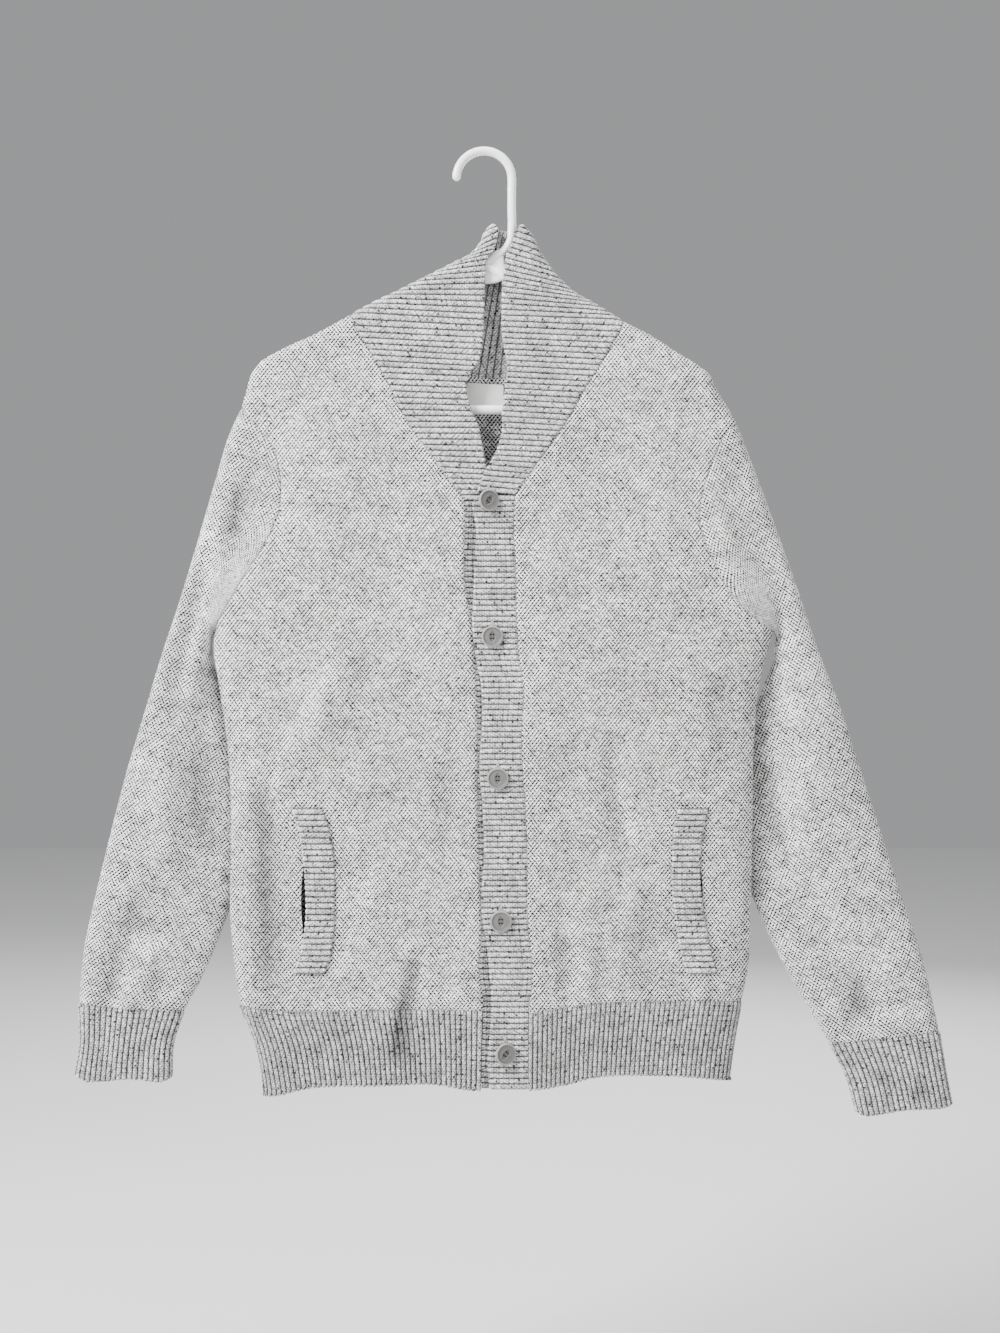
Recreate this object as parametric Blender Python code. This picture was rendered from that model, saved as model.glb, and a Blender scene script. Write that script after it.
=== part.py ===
"""A shawl collar cardigan on a plastic hanger, as separate cut pieces of knitted cloth.

Every cloth piece is a closed wall with an outer and an inner surface. The garment hangs flat, so a
piece is laid out by its outline seen from the front (across, height), and a depth field says how far
the cloth stands in front of or behind the middle plane. Seams part the pieces by a small gap.
+X is the wearer's left, -Y the front and +Z up. The origin is the crown of the hanger's hook, inside.
"""
import math

import bmesh
import bpy
import numpy as np

MM = 0.001

# Cloth
WALL = 2.2 * MM
RIB_HEIGHT = 0.9 * MM
SEAM_HALF = 0.17 * MM
COLLAR_SEAM_HALF = 0.24 * MM
COLUMNS_PER_RIB = 2

# How far the cloth stands off the middle plane, and how its edges round away
FRONT_DEPTH_TOP = 9.0 * MM
FRONT_DEPTH = 15.0 * MM
BACK_DEPTH_TOP = 9.0 * MM
BACK_DEPTH = 12.0 * MM
DEPTH_START = -150.0 * MM
DEPTH_RUN = 120.0 * MM
TOP_ROUND = 11.0 * MM
FRONT_SIDE_ROUND = 28.0 * MM
BACK_SIDE_ROUND = 20.0 * MM
OVERLAP_LIFT = 4.0 * MM
LIFT_START = -215.0 * MM
LIFT_RUN = 70.0 * MM
LIFT_EDGE = 95.0 * MM
LIFT_FADE = 50.0 * MM
SLOPE_STEP = 0.05 * MM
SHARP_ANGLE = math.radians(30)
LINE_STEPS = 400

# Ribs in each ribbed piece
WING_RIBS = 32
NECK_SIDE_RIBS = 17
NECK_BACK_RIBS = 8
HEM_HALF_RIBS = 45
HEM_BACK_RIBS = 90
CUFF_HALF_RIBS = 20
BAND_RIBS = 108
WELT_RIBS = 28
COLLAR_ROWS = 7
# Inner columns of half the collar: up to this rib, one every so many columns
COLLAR_INNER_STEPS = ((27, 6), (36, 2), (44, 6), (49, 2), (53, 4))
HEM_INNER_STEP = 6
HEM_FINE_COLUMNS = 10
BAND_INNER_STEP = 8
CUFF_INNER_STEP = 4
CUFF_FINE_COLUMNS = 8
WELT_INNER_STEP = 4

# Outlines in millimetres. Right and left are the wearer's, and right is at -X.
# Body side seams: height, right edge, left edge
BODY_EDGES = (
    (-443.6, -250.4, 268.8),
    (-460.0, -252.0, 264.3),
    (-480.0, -248.6, 259.0),
    (-508.0, -244.3, 253.8),
    (-532.0, -240.7, 252.3),
    (-566.0, -237.2, 250.4),
    (-604.0, -235.5, 250.0),
    (-650.0, -235.5, 249.2),
    (-700.0, -236.4, 248.3),
    (-750.0, -232.5, 246.5),
    (-790.0, -225.5, 239.0),
    (-828.0, -211.7, 232.0),
    (-866.0, -204.0, 227.0),
)
# Hem rib: across, height of the join, height of the lower edge
HEM_LINES = (
    (-226.0, -790.5, -866.0),
    (-193.0, -793.0, -870.0),
    (-165.0, -794.0, -863.5),
    (-97.0, -792.5, -861.0),
    (-45.0, -792.0, -859.5),
    (-15.0, -793.0, -864.5),
    (12.0, -794.0, -865.0),
    (41.0, -795.0, -864.0),
    (73.0, -790.0, -860.0),
    (102.0, -786.0, -853.0),
    (145.0, -785.0, -851.0),
    (201.0, -784.0, -853.7),
    (240.0, -786.0, -859.0),
)
# Shoulder lines from the neck point to the sleeve seam: across, height
RIGHT_SHOULDER = (
    (-122.8, -147.9),
    (-155.0, -165.5),
    (-188.8, -181.4),
    (-210.2, -195.0),
    (-217.0, -206.0),
    (-220.5, -219.0),
    (-225.3, -235.3),
)
LEFT_SHOULDER = (
    (129.0, -154.5),
    (154.4, -167.4),
    (182.3, -185.5),
    (200.9, -196.9),
    (209.3, -204.2),
    (216.5, -218.6),
    (226.5, -235.5),
    (235.3, -250.6),
)
# Armhole seams by the drop from the shoulder: right front, right back, left front, left back
ARMHOLES = (
    (0.00, -225.3, -225.3, 235.3, 235.3),
    (0.06, -216.0, -221.5, 222.5, 230.5),
    (0.12, -204.0, -218.5, 216.3, 227.5),
    (0.18, -194.5, -216.0, 211.0, 225.0),
    (0.27, -189.0, -213.0, 205.5, 221.5),
    (0.40, -187.0, -209.0, 199.8, 217.0),
    (0.48, -189.3, -207.5, 199.5, 215.5),
    (0.57, -197.0, -208.0, 204.0, 216.0),
    (0.66, -207.5, -210.5, 211.5, 219.0),
    (0.75, -220.5, -216.0, 219.5, 225.0),
    (0.85, -232.0, -226.0, 233.0, 237.5),
    (0.93, -242.0, -238.5, 249.0, 252.0),
    (1.00, -250.4, -250.4, 268.8, 268.8),
)
UNDERARM = -443.6
# Collar seams from the band to the neck point: across, height
RIGHT_COLLAR_SEAM = (
    (-17.2, -322.7),
    (-26.0, -311.0),
    (-42.8, -288.0),
    (-59.9, -265.4),
    (-77.2, -237.0),
    (-90.2, -210.0),
    (-105.5, -184.0),
    (-120.0, -159.0),
    (-122.8, -147.9),
)
LEFT_COLLAR_SEAM = (
    (28.5, -318.0),
    (37.5, -305.0),
    (47.0, -292.0),
    (65.4, -265.4),
    (79.0, -245.0),
    (92.0, -221.5),
    (105.0, -201.0),
    (118.5, -178.0),
    (127.5, -161.0),
    (129.0, -154.5),
)
# Seam at the back of the neck, right neck point to left neck point: across, height
BACK_NECK = (
    (-122.8, -147.9),
    (-112.0, -160.0),
    (-96.0, -174.0),
    (-70.0, -187.0),
    (-31.0, -200.0),
    (3.0, -206.0),
    (36.0, -201.5),
    (75.0, -189.5),
    (102.0, -176.5),
    (118.0, -164.5),
    (129.0, -154.5),
)
# Outline of the standing collar from the neck point to its peak: across, height
RIGHT_COLLAR_TOP = (
    (-122.8, -147.9),
    (-105.5, -138.8),
    (-77.0, -125.0),
    (-48.5, -110.7),
    (-27.6, -100.3),
    (-12.5, -92.5),
    (-3.0, -81.0),
    (1.5, -70.5),
    (7.0, -64.8),
)
LEFT_COLLAR_TOP = (
    (129.0, -154.5),
    (103.2, -138.8),
    (83.0, -127.0),
    (67.2, -111.6),
    (52.0, -90.0),
    (43.5, -73.0),
    (37.0, -65.2),
)
# Free edge of each collar wing from the band to the peak: across, height
RIGHT_COLLAR_EDGE = (
    (19.0, -322.7),
    (10.5, -308.0),
    (2.8, -295.7),
    (-1.9, -275.0),
    (-6.8, -252.0),
    (-12.5, -238.0),
    (-16.8, -222.0),
    (-14.5, -207.0),
    (-5.5, -191.6),
    (-2.8, -177.6),
    (-0.9, -144.0),
    (0.0, -118.0),
    (2.0, -98.5),
    (9.0, -88.5),
    (11.8, -78.0),
    (11.5, -69.0),
    (7.0, -64.8),
)
LEFT_COLLAR_EDGE = (
    (-4.7, -315.0),
    (-2.3, -308.0),
    (3.5, -294.0),
    (12.0, -279.0),
    (17.7, -261.0),
    (18.0, -240.0),
    (21.5, -212.0),
    (22.8, -195.0),
    (20.0, -182.0),
    (17.7, -164.0),
    (17.7, -144.0),
    (18.6, -117.0),
    (20.5, -104.0),
    (23.0, -91.0),
    (27.6, -83.0),
    (31.0, -71.0),
    (37.0, -65.2),
)
# Back top edge of the collar between its peaks: across, height
COLLAR_BACK_TOP = ((7.0, -64.8), (13.0, -68.5), (22.0, -70.0), (31.0, -68.7), (37.0, -65.2))
# Front bands by height: seam of the under band, edge of the upper band, seam of the upper band
BAND_LINES = (
    (-313.0, -17.0, -4.7, 28.2),
    (-327.0, -17.2, -9.0, 27.8),
    (-345.0, -17.4, -6.2, 27.2),
    (-386.0, -18.4, -7.4, 28.9),
    (-408.0, -16.5, -7.9, 29.2),
    (-438.0, -11.2, -9.0, 30.1),
    (-466.0, -8.7, -6.0, 31.9),
    (-493.0, -7.2, -0.9, 36.0),
    (-530.0, -5.8, -0.3, 34.6),
    (-568.0, -5.8, -2.5, 35.2),
    (-605.0, -5.8, 0.4, 37.9),
    (-646.0, -5.0, 1.9, 39.5),
    (-700.0, -2.8, -0.7, 39.5),
    (-728.0, -2.2, 3.7, 41.7),
    (-752.0, -4.4, 6.1, 44.0),
    (-784.0, -0.6, 8.3, 41.9),
    (-813.0, -0.8, 6.9, 38.5),
    (-840.0, -1.8, 4.9, 37.8),
    (-866.0, -2.6, 6.8, 40.8),
)
UPPER_BAND_TOP = -318.4
UNDER_BAND_TOP = -323.1
UNDER_BAND_EDGE = 20.0
BAND_BOTTOM = -864.2
# Sleeves by section: outer across and height, inner across and height, how far the inner edge is
# yawed back behind the body, and how much of the armhole's own curve the section still keeps
RIGHT_SLEEVE = (
    (-225.3, -235.3, -250.4, -443.6, 0.0, 1.00),
    (-236.0, -258.0, -251.8, -446.5, 1.0, 0.72),
    (-249.5, -302.0, -253.4, -451.5, 3.0, 0.38),
    (-266.5, -360.0, -254.2, -459.5, 6.0, 0.12),
    (-283.5, -416.0, -253.2, -470.5, 9.5, 0.00),
    (-299.5, -464.0, -248.5, -488.5, 13.5, 0.00),
    (-316.5, -521.0, -238.0, -526.0, 16.5, 0.00),
    (-330.5, -567.0, -228.5, -577.0, 17.0, 0.00),
    (-342.0, -610.0, -224.0, -624.0, 17.0, 0.00),
    (-353.5, -656.0, -226.5, -670.0, 16.5, 0.00),
    (-363.5, -698.0, -241.5, -712.0, 13.0, 0.00),
    (-371.5, -735.0, -259.5, -758.0, 8.0, 0.00),
    (-376.8, -788.6, -279.5, -796.5, 4.0, 0.00),
)
LEFT_SLEEVE = (
    (235.3, -250.6, 268.8, -443.6, 0.0, 1.00),
    (244.5, -274.5, 271.0, -446.0, 1.0, 0.72),
    (258.0, -310.0, 273.0, -451.0, 3.0, 0.38),
    (274.5, -355.0, 273.4, -459.0, 6.0, 0.12),
    (291.5, -403.0, 271.0, -470.0, 9.5, 0.00),
    (309.0, -455.0, 264.5, -488.0, 13.0, 0.00),
    (331.0, -512.0, 253.0, -522.0, 16.0, 0.00),
    (347.0, -561.0, 244.0, -566.0, 17.0, 0.00),
    (362.0, -607.0, 238.5, -608.0, 17.0, 0.00),
    (376.0, -651.0, 238.5, -650.0, 16.5, 0.00),
    (389.0, -690.0, 254.0, -698.0, 13.0, 0.00),
    (406.5, -742.0, 281.5, -757.0, 8.0, 0.00),
    (423.2, -813.8, 321.3, -825.8, 3.0, 0.00),
)
YAW_START = 0.25
TUBE_EASE = 0.4
SLEEVE_FRONT_DEPTH = 9.0 * MM
SLEEVE_BACK_DEPTH = 9.5 * MM
CUFF_DEPTH = 8.0 * MM
SLEEVE_ROUND = 18.0 * MM
CUFF_ROUND = 12.0 * MM
# Cuffs by section: outer across and height, inner across and height, yaw of the inner edge
RIGHT_CUFF = (
    (-376.8, -788.6, -279.5, -796.5, 4.0),
    (-375.6, -820.0, -288.3, -822.0, 2.5),
    (-380.4, -853.5, -290.6, -857.0, 1.0),
)
LEFT_CUFF = (
    (423.2, -813.8, 321.3, -825.8, 3.0),
    (429.0, -850.0, 335.5, -853.0, 2.0),
    (435.0, -881.5, 346.0, -889.5, 1.0),
)
# Lower edge of a cuff by the share of its width from the outer edge: right drop, left drop
CUFF_WAVES = (
    (0.00, 0.0, 0.0),
    (0.14, -5.6, -1.6),
    (0.35, -4.0, -1.0),
    (0.50, -1.5, 0.0),
    (0.70, -2.0, -1.6),
    (0.90, -3.6, -3.0),
    (1.00, 0.0, 0.0),
)
# Soft folds on the front: first end, second end (across, height), half width, height
FRONT_FOLDS = (
    (-61.0, -735.0, -82.0, -850.0, 15.0, 3.0),
    (-24.0, -735.0, -22.0, -795.0, 11.0, 1.4),
    (-86.0, -640.0, -98.0, -730.0, 15.0, 1.8),
    (-105.0, -440.0, -155.0, -530.0, 28.0, 2.4),
    (89.0, -690.0, 96.0, -790.0, 16.0, 2.6),
    (110.0, -550.0, 127.0, -655.0, 18.0, 1.8),
    (120.0, -300.0, 165.0, -390.0, 26.0, 1.6),
    (-110.0, -270.0, -150.0, -360.0, 26.0, 1.6),
)
BACK_FOLDS = (
    (-60.0, -250.0, -130.0, -380.0, 30.0, 1.8),
    (70.0, -255.0, 150.0, -390.0, 30.0, 1.8),
    (-95.0, -620.0, -120.0, -850.0, 22.0, 2.2),
    (20.0, -560.0, 5.0, -850.0, 26.0, 1.8),
    (110.0, -660.0, 135.0, -845.0, 20.0, 2.4),
)
SLEEVE_FOLDS = (
    (-236.0, -360.0, -270.0, -500.0, 15.0, 2.2),
    (-303.0, -560.0, -292.0, -670.0, 18.0, 2.0),
    (-318.0, -730.0, -338.0, -850.0, 15.0, 1.6),
    (222.0, -320.0, 246.0, -400.0, 15.0, 2.0),
    (290.0, -560.0, 305.0, -665.0, 18.0, 2.0),
    (372.0, -800.0, 400.0, -880.0, 14.0, 1.4),
)

SHOULDERS = (RIGHT_SHOULDER, LEFT_SHOULDER)
COLLAR_SEAMS = (RIGHT_COLLAR_SEAM, LEFT_COLLAR_SEAM)
SLEEVES = (RIGHT_SLEEVE, LEFT_SLEEVE)
CUFFS = (RIGHT_CUFF, LEFT_CUFF)
# Across value of each band seam at the hem's join and lower edge
HEM_AT_BAND = ((-0.7, -2.5), (40.9, 40.5))
JOIN_ROW = 10
BODY_MIDDLE = np.array([0.0, -0.5])
NECK_HALF_WIDTH = 126.0 * MM

# Grid lines of the panels
ARMHOLE_SHARES = (0.0, 0.02, 0.06, 0.14, 0.27, 0.42, 0.57, 0.71, 0.84, 0.94, 1.0)
COLLAR_SEAM_SHARES = (0.0, 0.02, 0.06, 0.15, 0.3, 0.5, 0.75, 1.0)
BAND_ROWS_ABOVE_UNDERARM = 3
ROWS_BELOW_UNDERARM = 7
FRONT_HEM_ROWS = 3
BACK_HEM_ROWS = 2
FRONT_SHARES = (0.0, 0.02, 0.06, 0.13, 0.24, 0.36, 0.48, 0.6, 0.72, 0.84, 0.93, 1.0)
SIDE_SHARES = (0.0, 0.015, 0.04, 0.085)
TOP_FADE = 0.38
TIP_CROWDING = 1.6
TOP_PULL = 0.3
SHOULDER_COLUMNS = 5
NECK_SHARES = (0.0, 0.018, 0.05, 0.11, 0.26, 0.5, 0.74, 0.89, 0.95, 0.982, 1.0)

# Rib lines of the collar: how they gather where they cross the outline
CROSSING_BEFORE = 25.0 * MM
CROSSING_AFTER = 10.0 * MM
CROSSING_REACH = 14.0 * MM
CROSSING_CROWDING = 5.0
CROSSING_SNAP = 12.0 * MM
COLLAR_MIDDLE = np.array([10.0, 0.0, -210.0]) * MM
COLLAR_FLATNESS = 20.0
TINY = 1e-9

# Pocket welts: height, right outer edge, right inner edge, left inner edge, left outer edge
WELTS = (
    (-606.5, -175.2, -151.6, 181.0, 206.2),
    (-619.0, -170.8, -145.6, 177.2, 202.0),
    (-637.0, -167.2, -141.6, 175.6, 198.8),
    (-659.0, -164.2, -139.6, 174.6, 197.4),
    (-680.0, -162.8, -139.0, 174.6, 198.2),
    (-700.0, -162.2, -139.0, 177.0, 200.4),
    (-725.0, -164.6, -140.4, 180.2, 204.4),
    (-745.0, -168.8, -143.0, 184.6, 208.8),
    (-758.0, -173.6, -148.0, 188.6, 212.6),
)
WELT_WALL = 1.8 * MM
WELT_GAP = 0.35 * MM
# Pocket slits: top, bottom, open edge at mid height, edge hidden under the welt
RIGHT_SLIT = (-644.0, -739.0, -168.6, -159.5)
LEFT_SLIT = (-655.0, -711.0, 201.6, 195.0)
SLITS = (RIGHT_SLIT, LEFT_SLIT)
SLIT_STEPS = 7
CUTTER_REACH = 9.0 * MM

# Buttons: across, height, turn in degrees about the button's own axis, tip in degrees
BUTTONS = (
    (4.3, -323.6, 36.0, 24.0),
    (8.0, -448.3, 0.0, 0.0),
    (12.9, -578.5, 0.0, 0.0),
    (15.8, -709.5, 0.0, 0.0),
    (19.7, -830.2, 43.0, 22.0),
)
BUTTON_RADIUS = 10.0 * MM
BUTTON_THICKNESS = 3.0 * MM
BUTTON_SIDES = 12
HOLE_SIDES = 4
BUTTON_GAP = 0.35 * MM
BUTTON_DISH_RADIUS = 7.4 * MM
BUTTON_RIM_RADIUS = 9.2 * MM
BUTTON_DISH = 0.6 * MM
BUTTON_HOLE_RADIUS = 0.85 * MM
BUTTON_HOLE_OFFSET = 1.6 * MM

# Neck label: across and height of its corners
LABEL_LEFT, LABEL_RIGHT = -34.0 * MM, 18.0 * MM
LABEL_TOP, LABEL_DROP, LABEL_HEIGHT = -209.5 * MM, 3.5 * MM, 22.5 * MM
LABEL_FRONT = 6.2 * MM
LABEL_WALL = 1.0 * MM

# Hanger
HOOK_RADIUS = 25.7 * MM
HOOK_TUBE = 3.9 * MM
HOOK_TIP = 0.6
HOOK_TIP_ANGLE = 185.0
HOOK_STATIONS = 15
STEM_STATIONS = 12
HANGER_CENTRE = -3.5 * MM
ARM_TUBE = 4.4 * MM
BAR_HEIGHT = -237.0 * MM
TUBE_SIDES = 8
WEB_HALF = 2.6 * MM

# Middle of the stem under the hook, down to the arms: across, height
STEM = (
    (25.7, -21.8),
    (25.7, -50.0),
    (25.7, -70.0),
    (24.3, -80.0),
    (19.5, -88.0),
    (11.0, -94.5),
    (2.0, -99.5),
    (-3.5, -105.0),
)

# Half of the hanger's frame, from its peak to its bar: across from the peak, height
FRAME_HALF = (
    (0.0, -104.5),
    (40.0, -124.1),
    (85.0, -146.15),
    (130.0, -168.2),
    (160.0, -182.9),
    (182.0, -196.9),
    (197.0, -209.9),
    (204.0, -220.9),
    (201.0, -231.0),
    (192.0, -237.0),
    (144.0, -237.0),
    (74.0, -237.0),
)

# Web that fills the corner under the stem: height, left edge, right edge
WEB_ROWS = (
    (-89.5, 11.0, 17.0),
    (-93.0, 6.0, 17.6),
    (-97.0, -1.0, 17.8),
    (-102.0, -9.0, 18.2),
    (-110.0, -22.5, 21.0),
    (-114.0, -19.0, 19.5),
    (-118.0, -16.0, 14.0),
)

KNIT_BODY = ("knit body", (0.58, 0.57, 0.56), 0.9)
KNIT_RIB = ("knit rib", (0.52, 0.51, 0.51), 0.9)
BUTTON_FINISH = ("button", (0.3, 0.29, 0.28), 0.4)
LABEL_FINISH = ("label", (0.85, 0.85, 0.83), 0.7)
HANGER_FINISH = ("hanger plastic", (0.9, 0.9, 0.9), 0.3)


def table(rows, *columns):
    """Pick columns of a table in millimetres, in metres."""
    return np.array([[row[column] for column in columns] for row in rows]) * MM


def run_length(line):
    """Length along a line up to each of its points."""
    return np.concatenate([[0.0], np.cumsum(np.linalg.norm(np.diff(line, axis=0), axis=1))])


def fine_curve(points):
    """A smooth curve through the points, as many short straight pieces."""
    rows = np.asarray(points, float)
    chord = run_length(rows)
    slope = np.gradient(rows, chord, axis=0)
    place = np.linspace(0.0, chord[-1], LINE_STEPS)
    cell = np.clip(np.searchsorted(chord, place, side="right") - 1, 0, len(chord) - 2)
    span = (chord[cell + 1] - chord[cell])[:, None]
    share = (place - chord[cell])[:, None] / span
    square, cube = share ** 2, share ** 3
    start = (2 * cube - 3 * square + 1) * rows[cell] + (cube - 2 * square + share) * span * slope[cell]
    end = (3 * square - 2 * cube) * rows[cell + 1] + (cube - square) * span * slope[cell + 1]
    return start + end


def along(points, shares):
    """Points at the given shares of the length of the smooth curve through the points."""
    curve = fine_curve(points)
    length = run_length(curve)
    wanted = np.asarray(shares, float) * length[-1]
    return np.stack([np.interp(wanted, length, axis) for axis in curve.T], axis=-1)


def across_at(rows, column, heights):
    """Smooth across value of one column of a table whose first column is the falling height."""
    curve = fine_curve(table(rows, 0, column))
    return np.interp(-np.asarray(heights), -curve[:, 0], curve[:, 1])


def height_at(column, across):
    """Height of the hem's join (1) or lower edge (2) at places across."""
    curve = fine_curve(table(HEM_LINES, 0, column))
    return np.interp(across, curve[:, 0], curve[:, 1])


def smooth(share):
    """Ease from 0 to 1."""
    share = np.clip(share, 0.0, 1.0)
    return share * share * (3.0 - 2.0 * share)


def rise(share):
    """Quarter-ellipse rise from 0 to 1."""
    return np.sqrt(1.0 - (1.0 - np.clip(share, 0.0, 1.0)) ** 2)


def distance_to(line, points):
    """Distance from each point to a line of straight pieces."""
    step = np.diff(line, axis=0)
    offset = points[..., None, :] - line[:-1]
    share = np.clip((offset * step).sum(-1) / (step * step).sum(-1), 0.0, 1.0)
    return np.linalg.norm(offset - share[..., None] * step, axis=-1).min(-1)


def unit(vectors):
    """Vectors of length one."""
    return vectors / np.maximum(np.linalg.norm(vectors, axis=-1, keepdims=True), 1e-12)


def side_line(column):
    """Side seam from the underarm to the hem's lower edge, as (across, height)."""
    curve = fine_curve(table(BODY_EDGES, column, 0))
    return curve[::10]


def top_line(shoulder, collar, sleeve):
    """Upper outline from the collar's peak over the shoulder to the cuff."""
    parts = [fine_curve(table(collar, 0, 1))[::-8], fine_curve(table(shoulder, 0, 1))[::8]]
    parts.append(fine_curve(table(sleeve, 0, 1))[::8])
    return np.concatenate(parts)


SIDE_LINES = (side_line(1), side_line(2))
TOP_LINES = (
    top_line(RIGHT_SHOULDER, RIGHT_COLLAR_TOP, RIGHT_SLEEVE),
    top_line(LEFT_SHOULDER, LEFT_COLLAR_TOP, LEFT_SLEEVE),
)


def fold_height(folds, points):
    """Height of soft folds: each is a bell across a straight run, fading at both ends."""
    total = np.zeros(points.shape[:-1])
    for row in folds:
        x0, z0, x1, z1, half_width, height = (value * MM for value in row)
        start, step = np.array([x0, z0]), np.array([x1 - x0, z1 - z0])
        length = np.linalg.norm(step)
        offset = points - start
        run = (offset @ step) / length
        aside = (offset[..., 0] * step[1] - offset[..., 1] * step[0]) / length
        fade = smooth((run + half_width) / half_width) * smooth((length + half_width - run) / half_width)
        total += height * fade * np.exp(-(aside / half_width) ** 2)
    return total


def cloth_depth(points, top, full, side_round, folds):
    """Depth of the cloth: grows down the body and rounds away at its outline."""
    depth = top + (full - top) * smooth((DEPTH_START - points[..., 1]) / DEPTH_RUN)
    edge = np.minimum(distance_to(TOP_LINES[0], points), distance_to(TOP_LINES[1], points))
    side = np.minimum(distance_to(SIDE_LINES[0], points), distance_to(SIDE_LINES[1], points))
    return (depth + fold_height(folds, points)) * rise(edge / TOP_ROUND) * rise(side / side_round)


def front_y(points):
    """Y of the front cloth's outer surface."""
    return -cloth_depth(points, FRONT_DEPTH_TOP, FRONT_DEPTH, FRONT_SIDE_ROUND, FRONT_FOLDS)


def raised_front_y(points):
    """Y of the front cloth that overlaps: lifted towards the middle, over the under band."""
    lift = OVERLAP_LIFT * smooth((LIFT_START - points[..., 1]) / LIFT_RUN)
    return front_y(points) - lift * smooth((LIFT_EDGE - points[..., 0]) / LIFT_FADE)


def back_y(points):
    """Y of the back cloth's outer surface."""
    return cloth_depth(points, BACK_DEPTH_TOP, BACK_DEPTH, BACK_SIDE_ROUND, BACK_FOLDS)


FRONT_SURFACES = (front_y, raised_front_y)


def surface_normal(surface, points):
    """Outward normal of a surface given as y over (across, height)."""
    across, up = np.array([SLOPE_STEP, 0.0]), np.array([0.0, SLOPE_STEP])
    slope_x = (surface(points + across) - surface(points - across)) / (2 * SLOPE_STEP)
    slope_z = (surface(points + up) - surface(points - up)) / (2 * SLOPE_STEP)
    facing = 1.0 if surface is back_y else -1.0
    return unit(np.stack([-slope_x * facing, np.full_like(slope_x, facing), -slope_z * facing], -1))


def lay(points, y):
    """3-D points from (across, height) and y."""
    return np.stack([points[..., 0], np.broadcast_to(y, points.shape[:-1]), points[..., 1]], -1)


def patch(first, last, top, bottom, top_shares, bottom_shares):
    """Grid between four lines, with straight rows from the first line to the last.

    The upper rows bend to fit the top line, less and less down to the underarm, and the lowest
    rows bend to fit the bottom line.
    """
    rows = run_length((first + last) / 2)
    v = (rows / rows[-1])[:, None]
    ease = smooth(v / TOP_FADE)
    shares = ((1 - ease) * np.asarray(top_shares) + ease * np.asarray(bottom_shares))[..., None]
    grid = (1 - shares) * first[:, None] + shares * last[:, None]
    top_chord = top[0] + (top[-1] - top[0]) * np.asarray(top_shares)[:, None]
    bottom_chord = bottom[0] + (bottom[-1] - bottom[0]) * np.asarray(bottom_shares)[:, None]
    return grid + (1 - ease)[..., None] * (top - top_chord) + v[..., None] ** 4 * (bottom - bottom_chord)


def outline_normal(line, inside):
    """Normals of an outline, square to it in the front view and away from the inside point."""
    tangent = unit(np.gradient(line, axis=0))
    normal = np.stack([-tangent[:, 1], tangent[:, 0]], -1)
    away = ((line - inside) * normal).sum(-1, keepdims=True)
    normal = np.where(away < 0, -normal, normal)
    return np.stack([normal[:, 0], np.zeros(len(line)), normal[:, 1]], -1)


def side_normals(line):
    """Outline normals down a side seam, level where the hem joins."""
    normals = outline_normal(line, BODY_MIDDLE)
    normals[-1] = (math.copysign(1.0, line[-1, 0]), 0.0, 0.0)
    return normals


def turned(vectors, toward):
    """Vectors, each turned round where it points away from the wanted direction."""
    wrong = (vectors * toward).sum(-1, keepdims=True) < 0
    return np.where(wrong, -vectors, vectors)


def grid_normal(grid, outside, closed=False):
    """Normals of a 3-D grid from its neighbours, on the side the outside vectors mostly point to."""
    if closed:
        around = np.concatenate([grid[:, -1:], grid, grid[:, :1]], axis=1)
        across = around[:, 2:] - around[:, :-2]
    else:
        across = np.gradient(grid, axis=1)
    normals = unit(np.cross(across, np.gradient(grid, axis=0)))
    return normals if (normals * outside).sum() > 0 else -normals


def seam_frame(points, surface, corners, toward):
    """Outer points, normals and in-cloth cross directions along a seam.

    A corner gives the normal at an end that lies on the outline, where the seam turns to the
    other side of the garment. The cross directions point to the panel's side, given by toward.
    """
    base = lay(points, surface(points))
    normals = surface_normal(surface, points)
    tangent = np.gradient(base, axis=0)
    for end, corner in zip((0, -1), corners):
        if corner is not None:
            base[end, 1] = 0.0
            normals[end] = corner
            tangent[end] = (0.0, 1.0, 0.0)
    return base, normals, turned(unit(np.cross(tangent, normals)), toward)


def sample_frame(frame, count):
    """A seam frame at evenly spaced places along its straight pieces."""
    length = run_length(frame[0][:, (0, 2)])
    place = np.linspace(0.0, length[-1], count)
    parts = [np.stack([np.interp(place, length, axis) for axis in part.T], -1) for part in frame]
    return parts[0], unit(parts[1]), unit(parts[2])


def material(finish):
    """A plain Principled material of a finish."""
    name, colour, roughness = finish
    made = bpy.data.materials.get(name)
    if made is None:
        made = bpy.data.materials.new(name)
        made.use_nodes = True
        shader = made.node_tree.nodes["Principled BSDF"]
        shader.inputs["Base Color"].default_value = (*colour, 1.0)
        shader.inputs["Roughness"].default_value = roughness
        shader.inputs["Metallic"].default_value = 0.0
    return made


def add_object(name, points, faces, finish, smooth_shade=True):
    """Make one closed object whose faces point outwards."""
    mesh = bpy.data.meshes.new(name)
    mesh.from_pydata([tuple(point) for point in points], [], faces)
    shape = bmesh.new()
    shape.from_mesh(mesh)
    bmesh.ops.recalc_face_normals(shape, faces=shape.faces)
    if shape.calc_volume(signed=True) < 0:
        bmesh.ops.reverse_faces(shape, faces=shape.faces)
    shape.to_mesh(mesh)
    shape.free()
    if smooth_shade:
        mesh.shade_smooth()
        mesh.set_sharp_from_angle(angle=SHARP_ANGLE)
    made = bpy.data.objects.new(name, mesh)
    made.data.materials.append(material(finish))
    bpy.context.scene.collection.objects.link(made)
    return made


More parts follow.
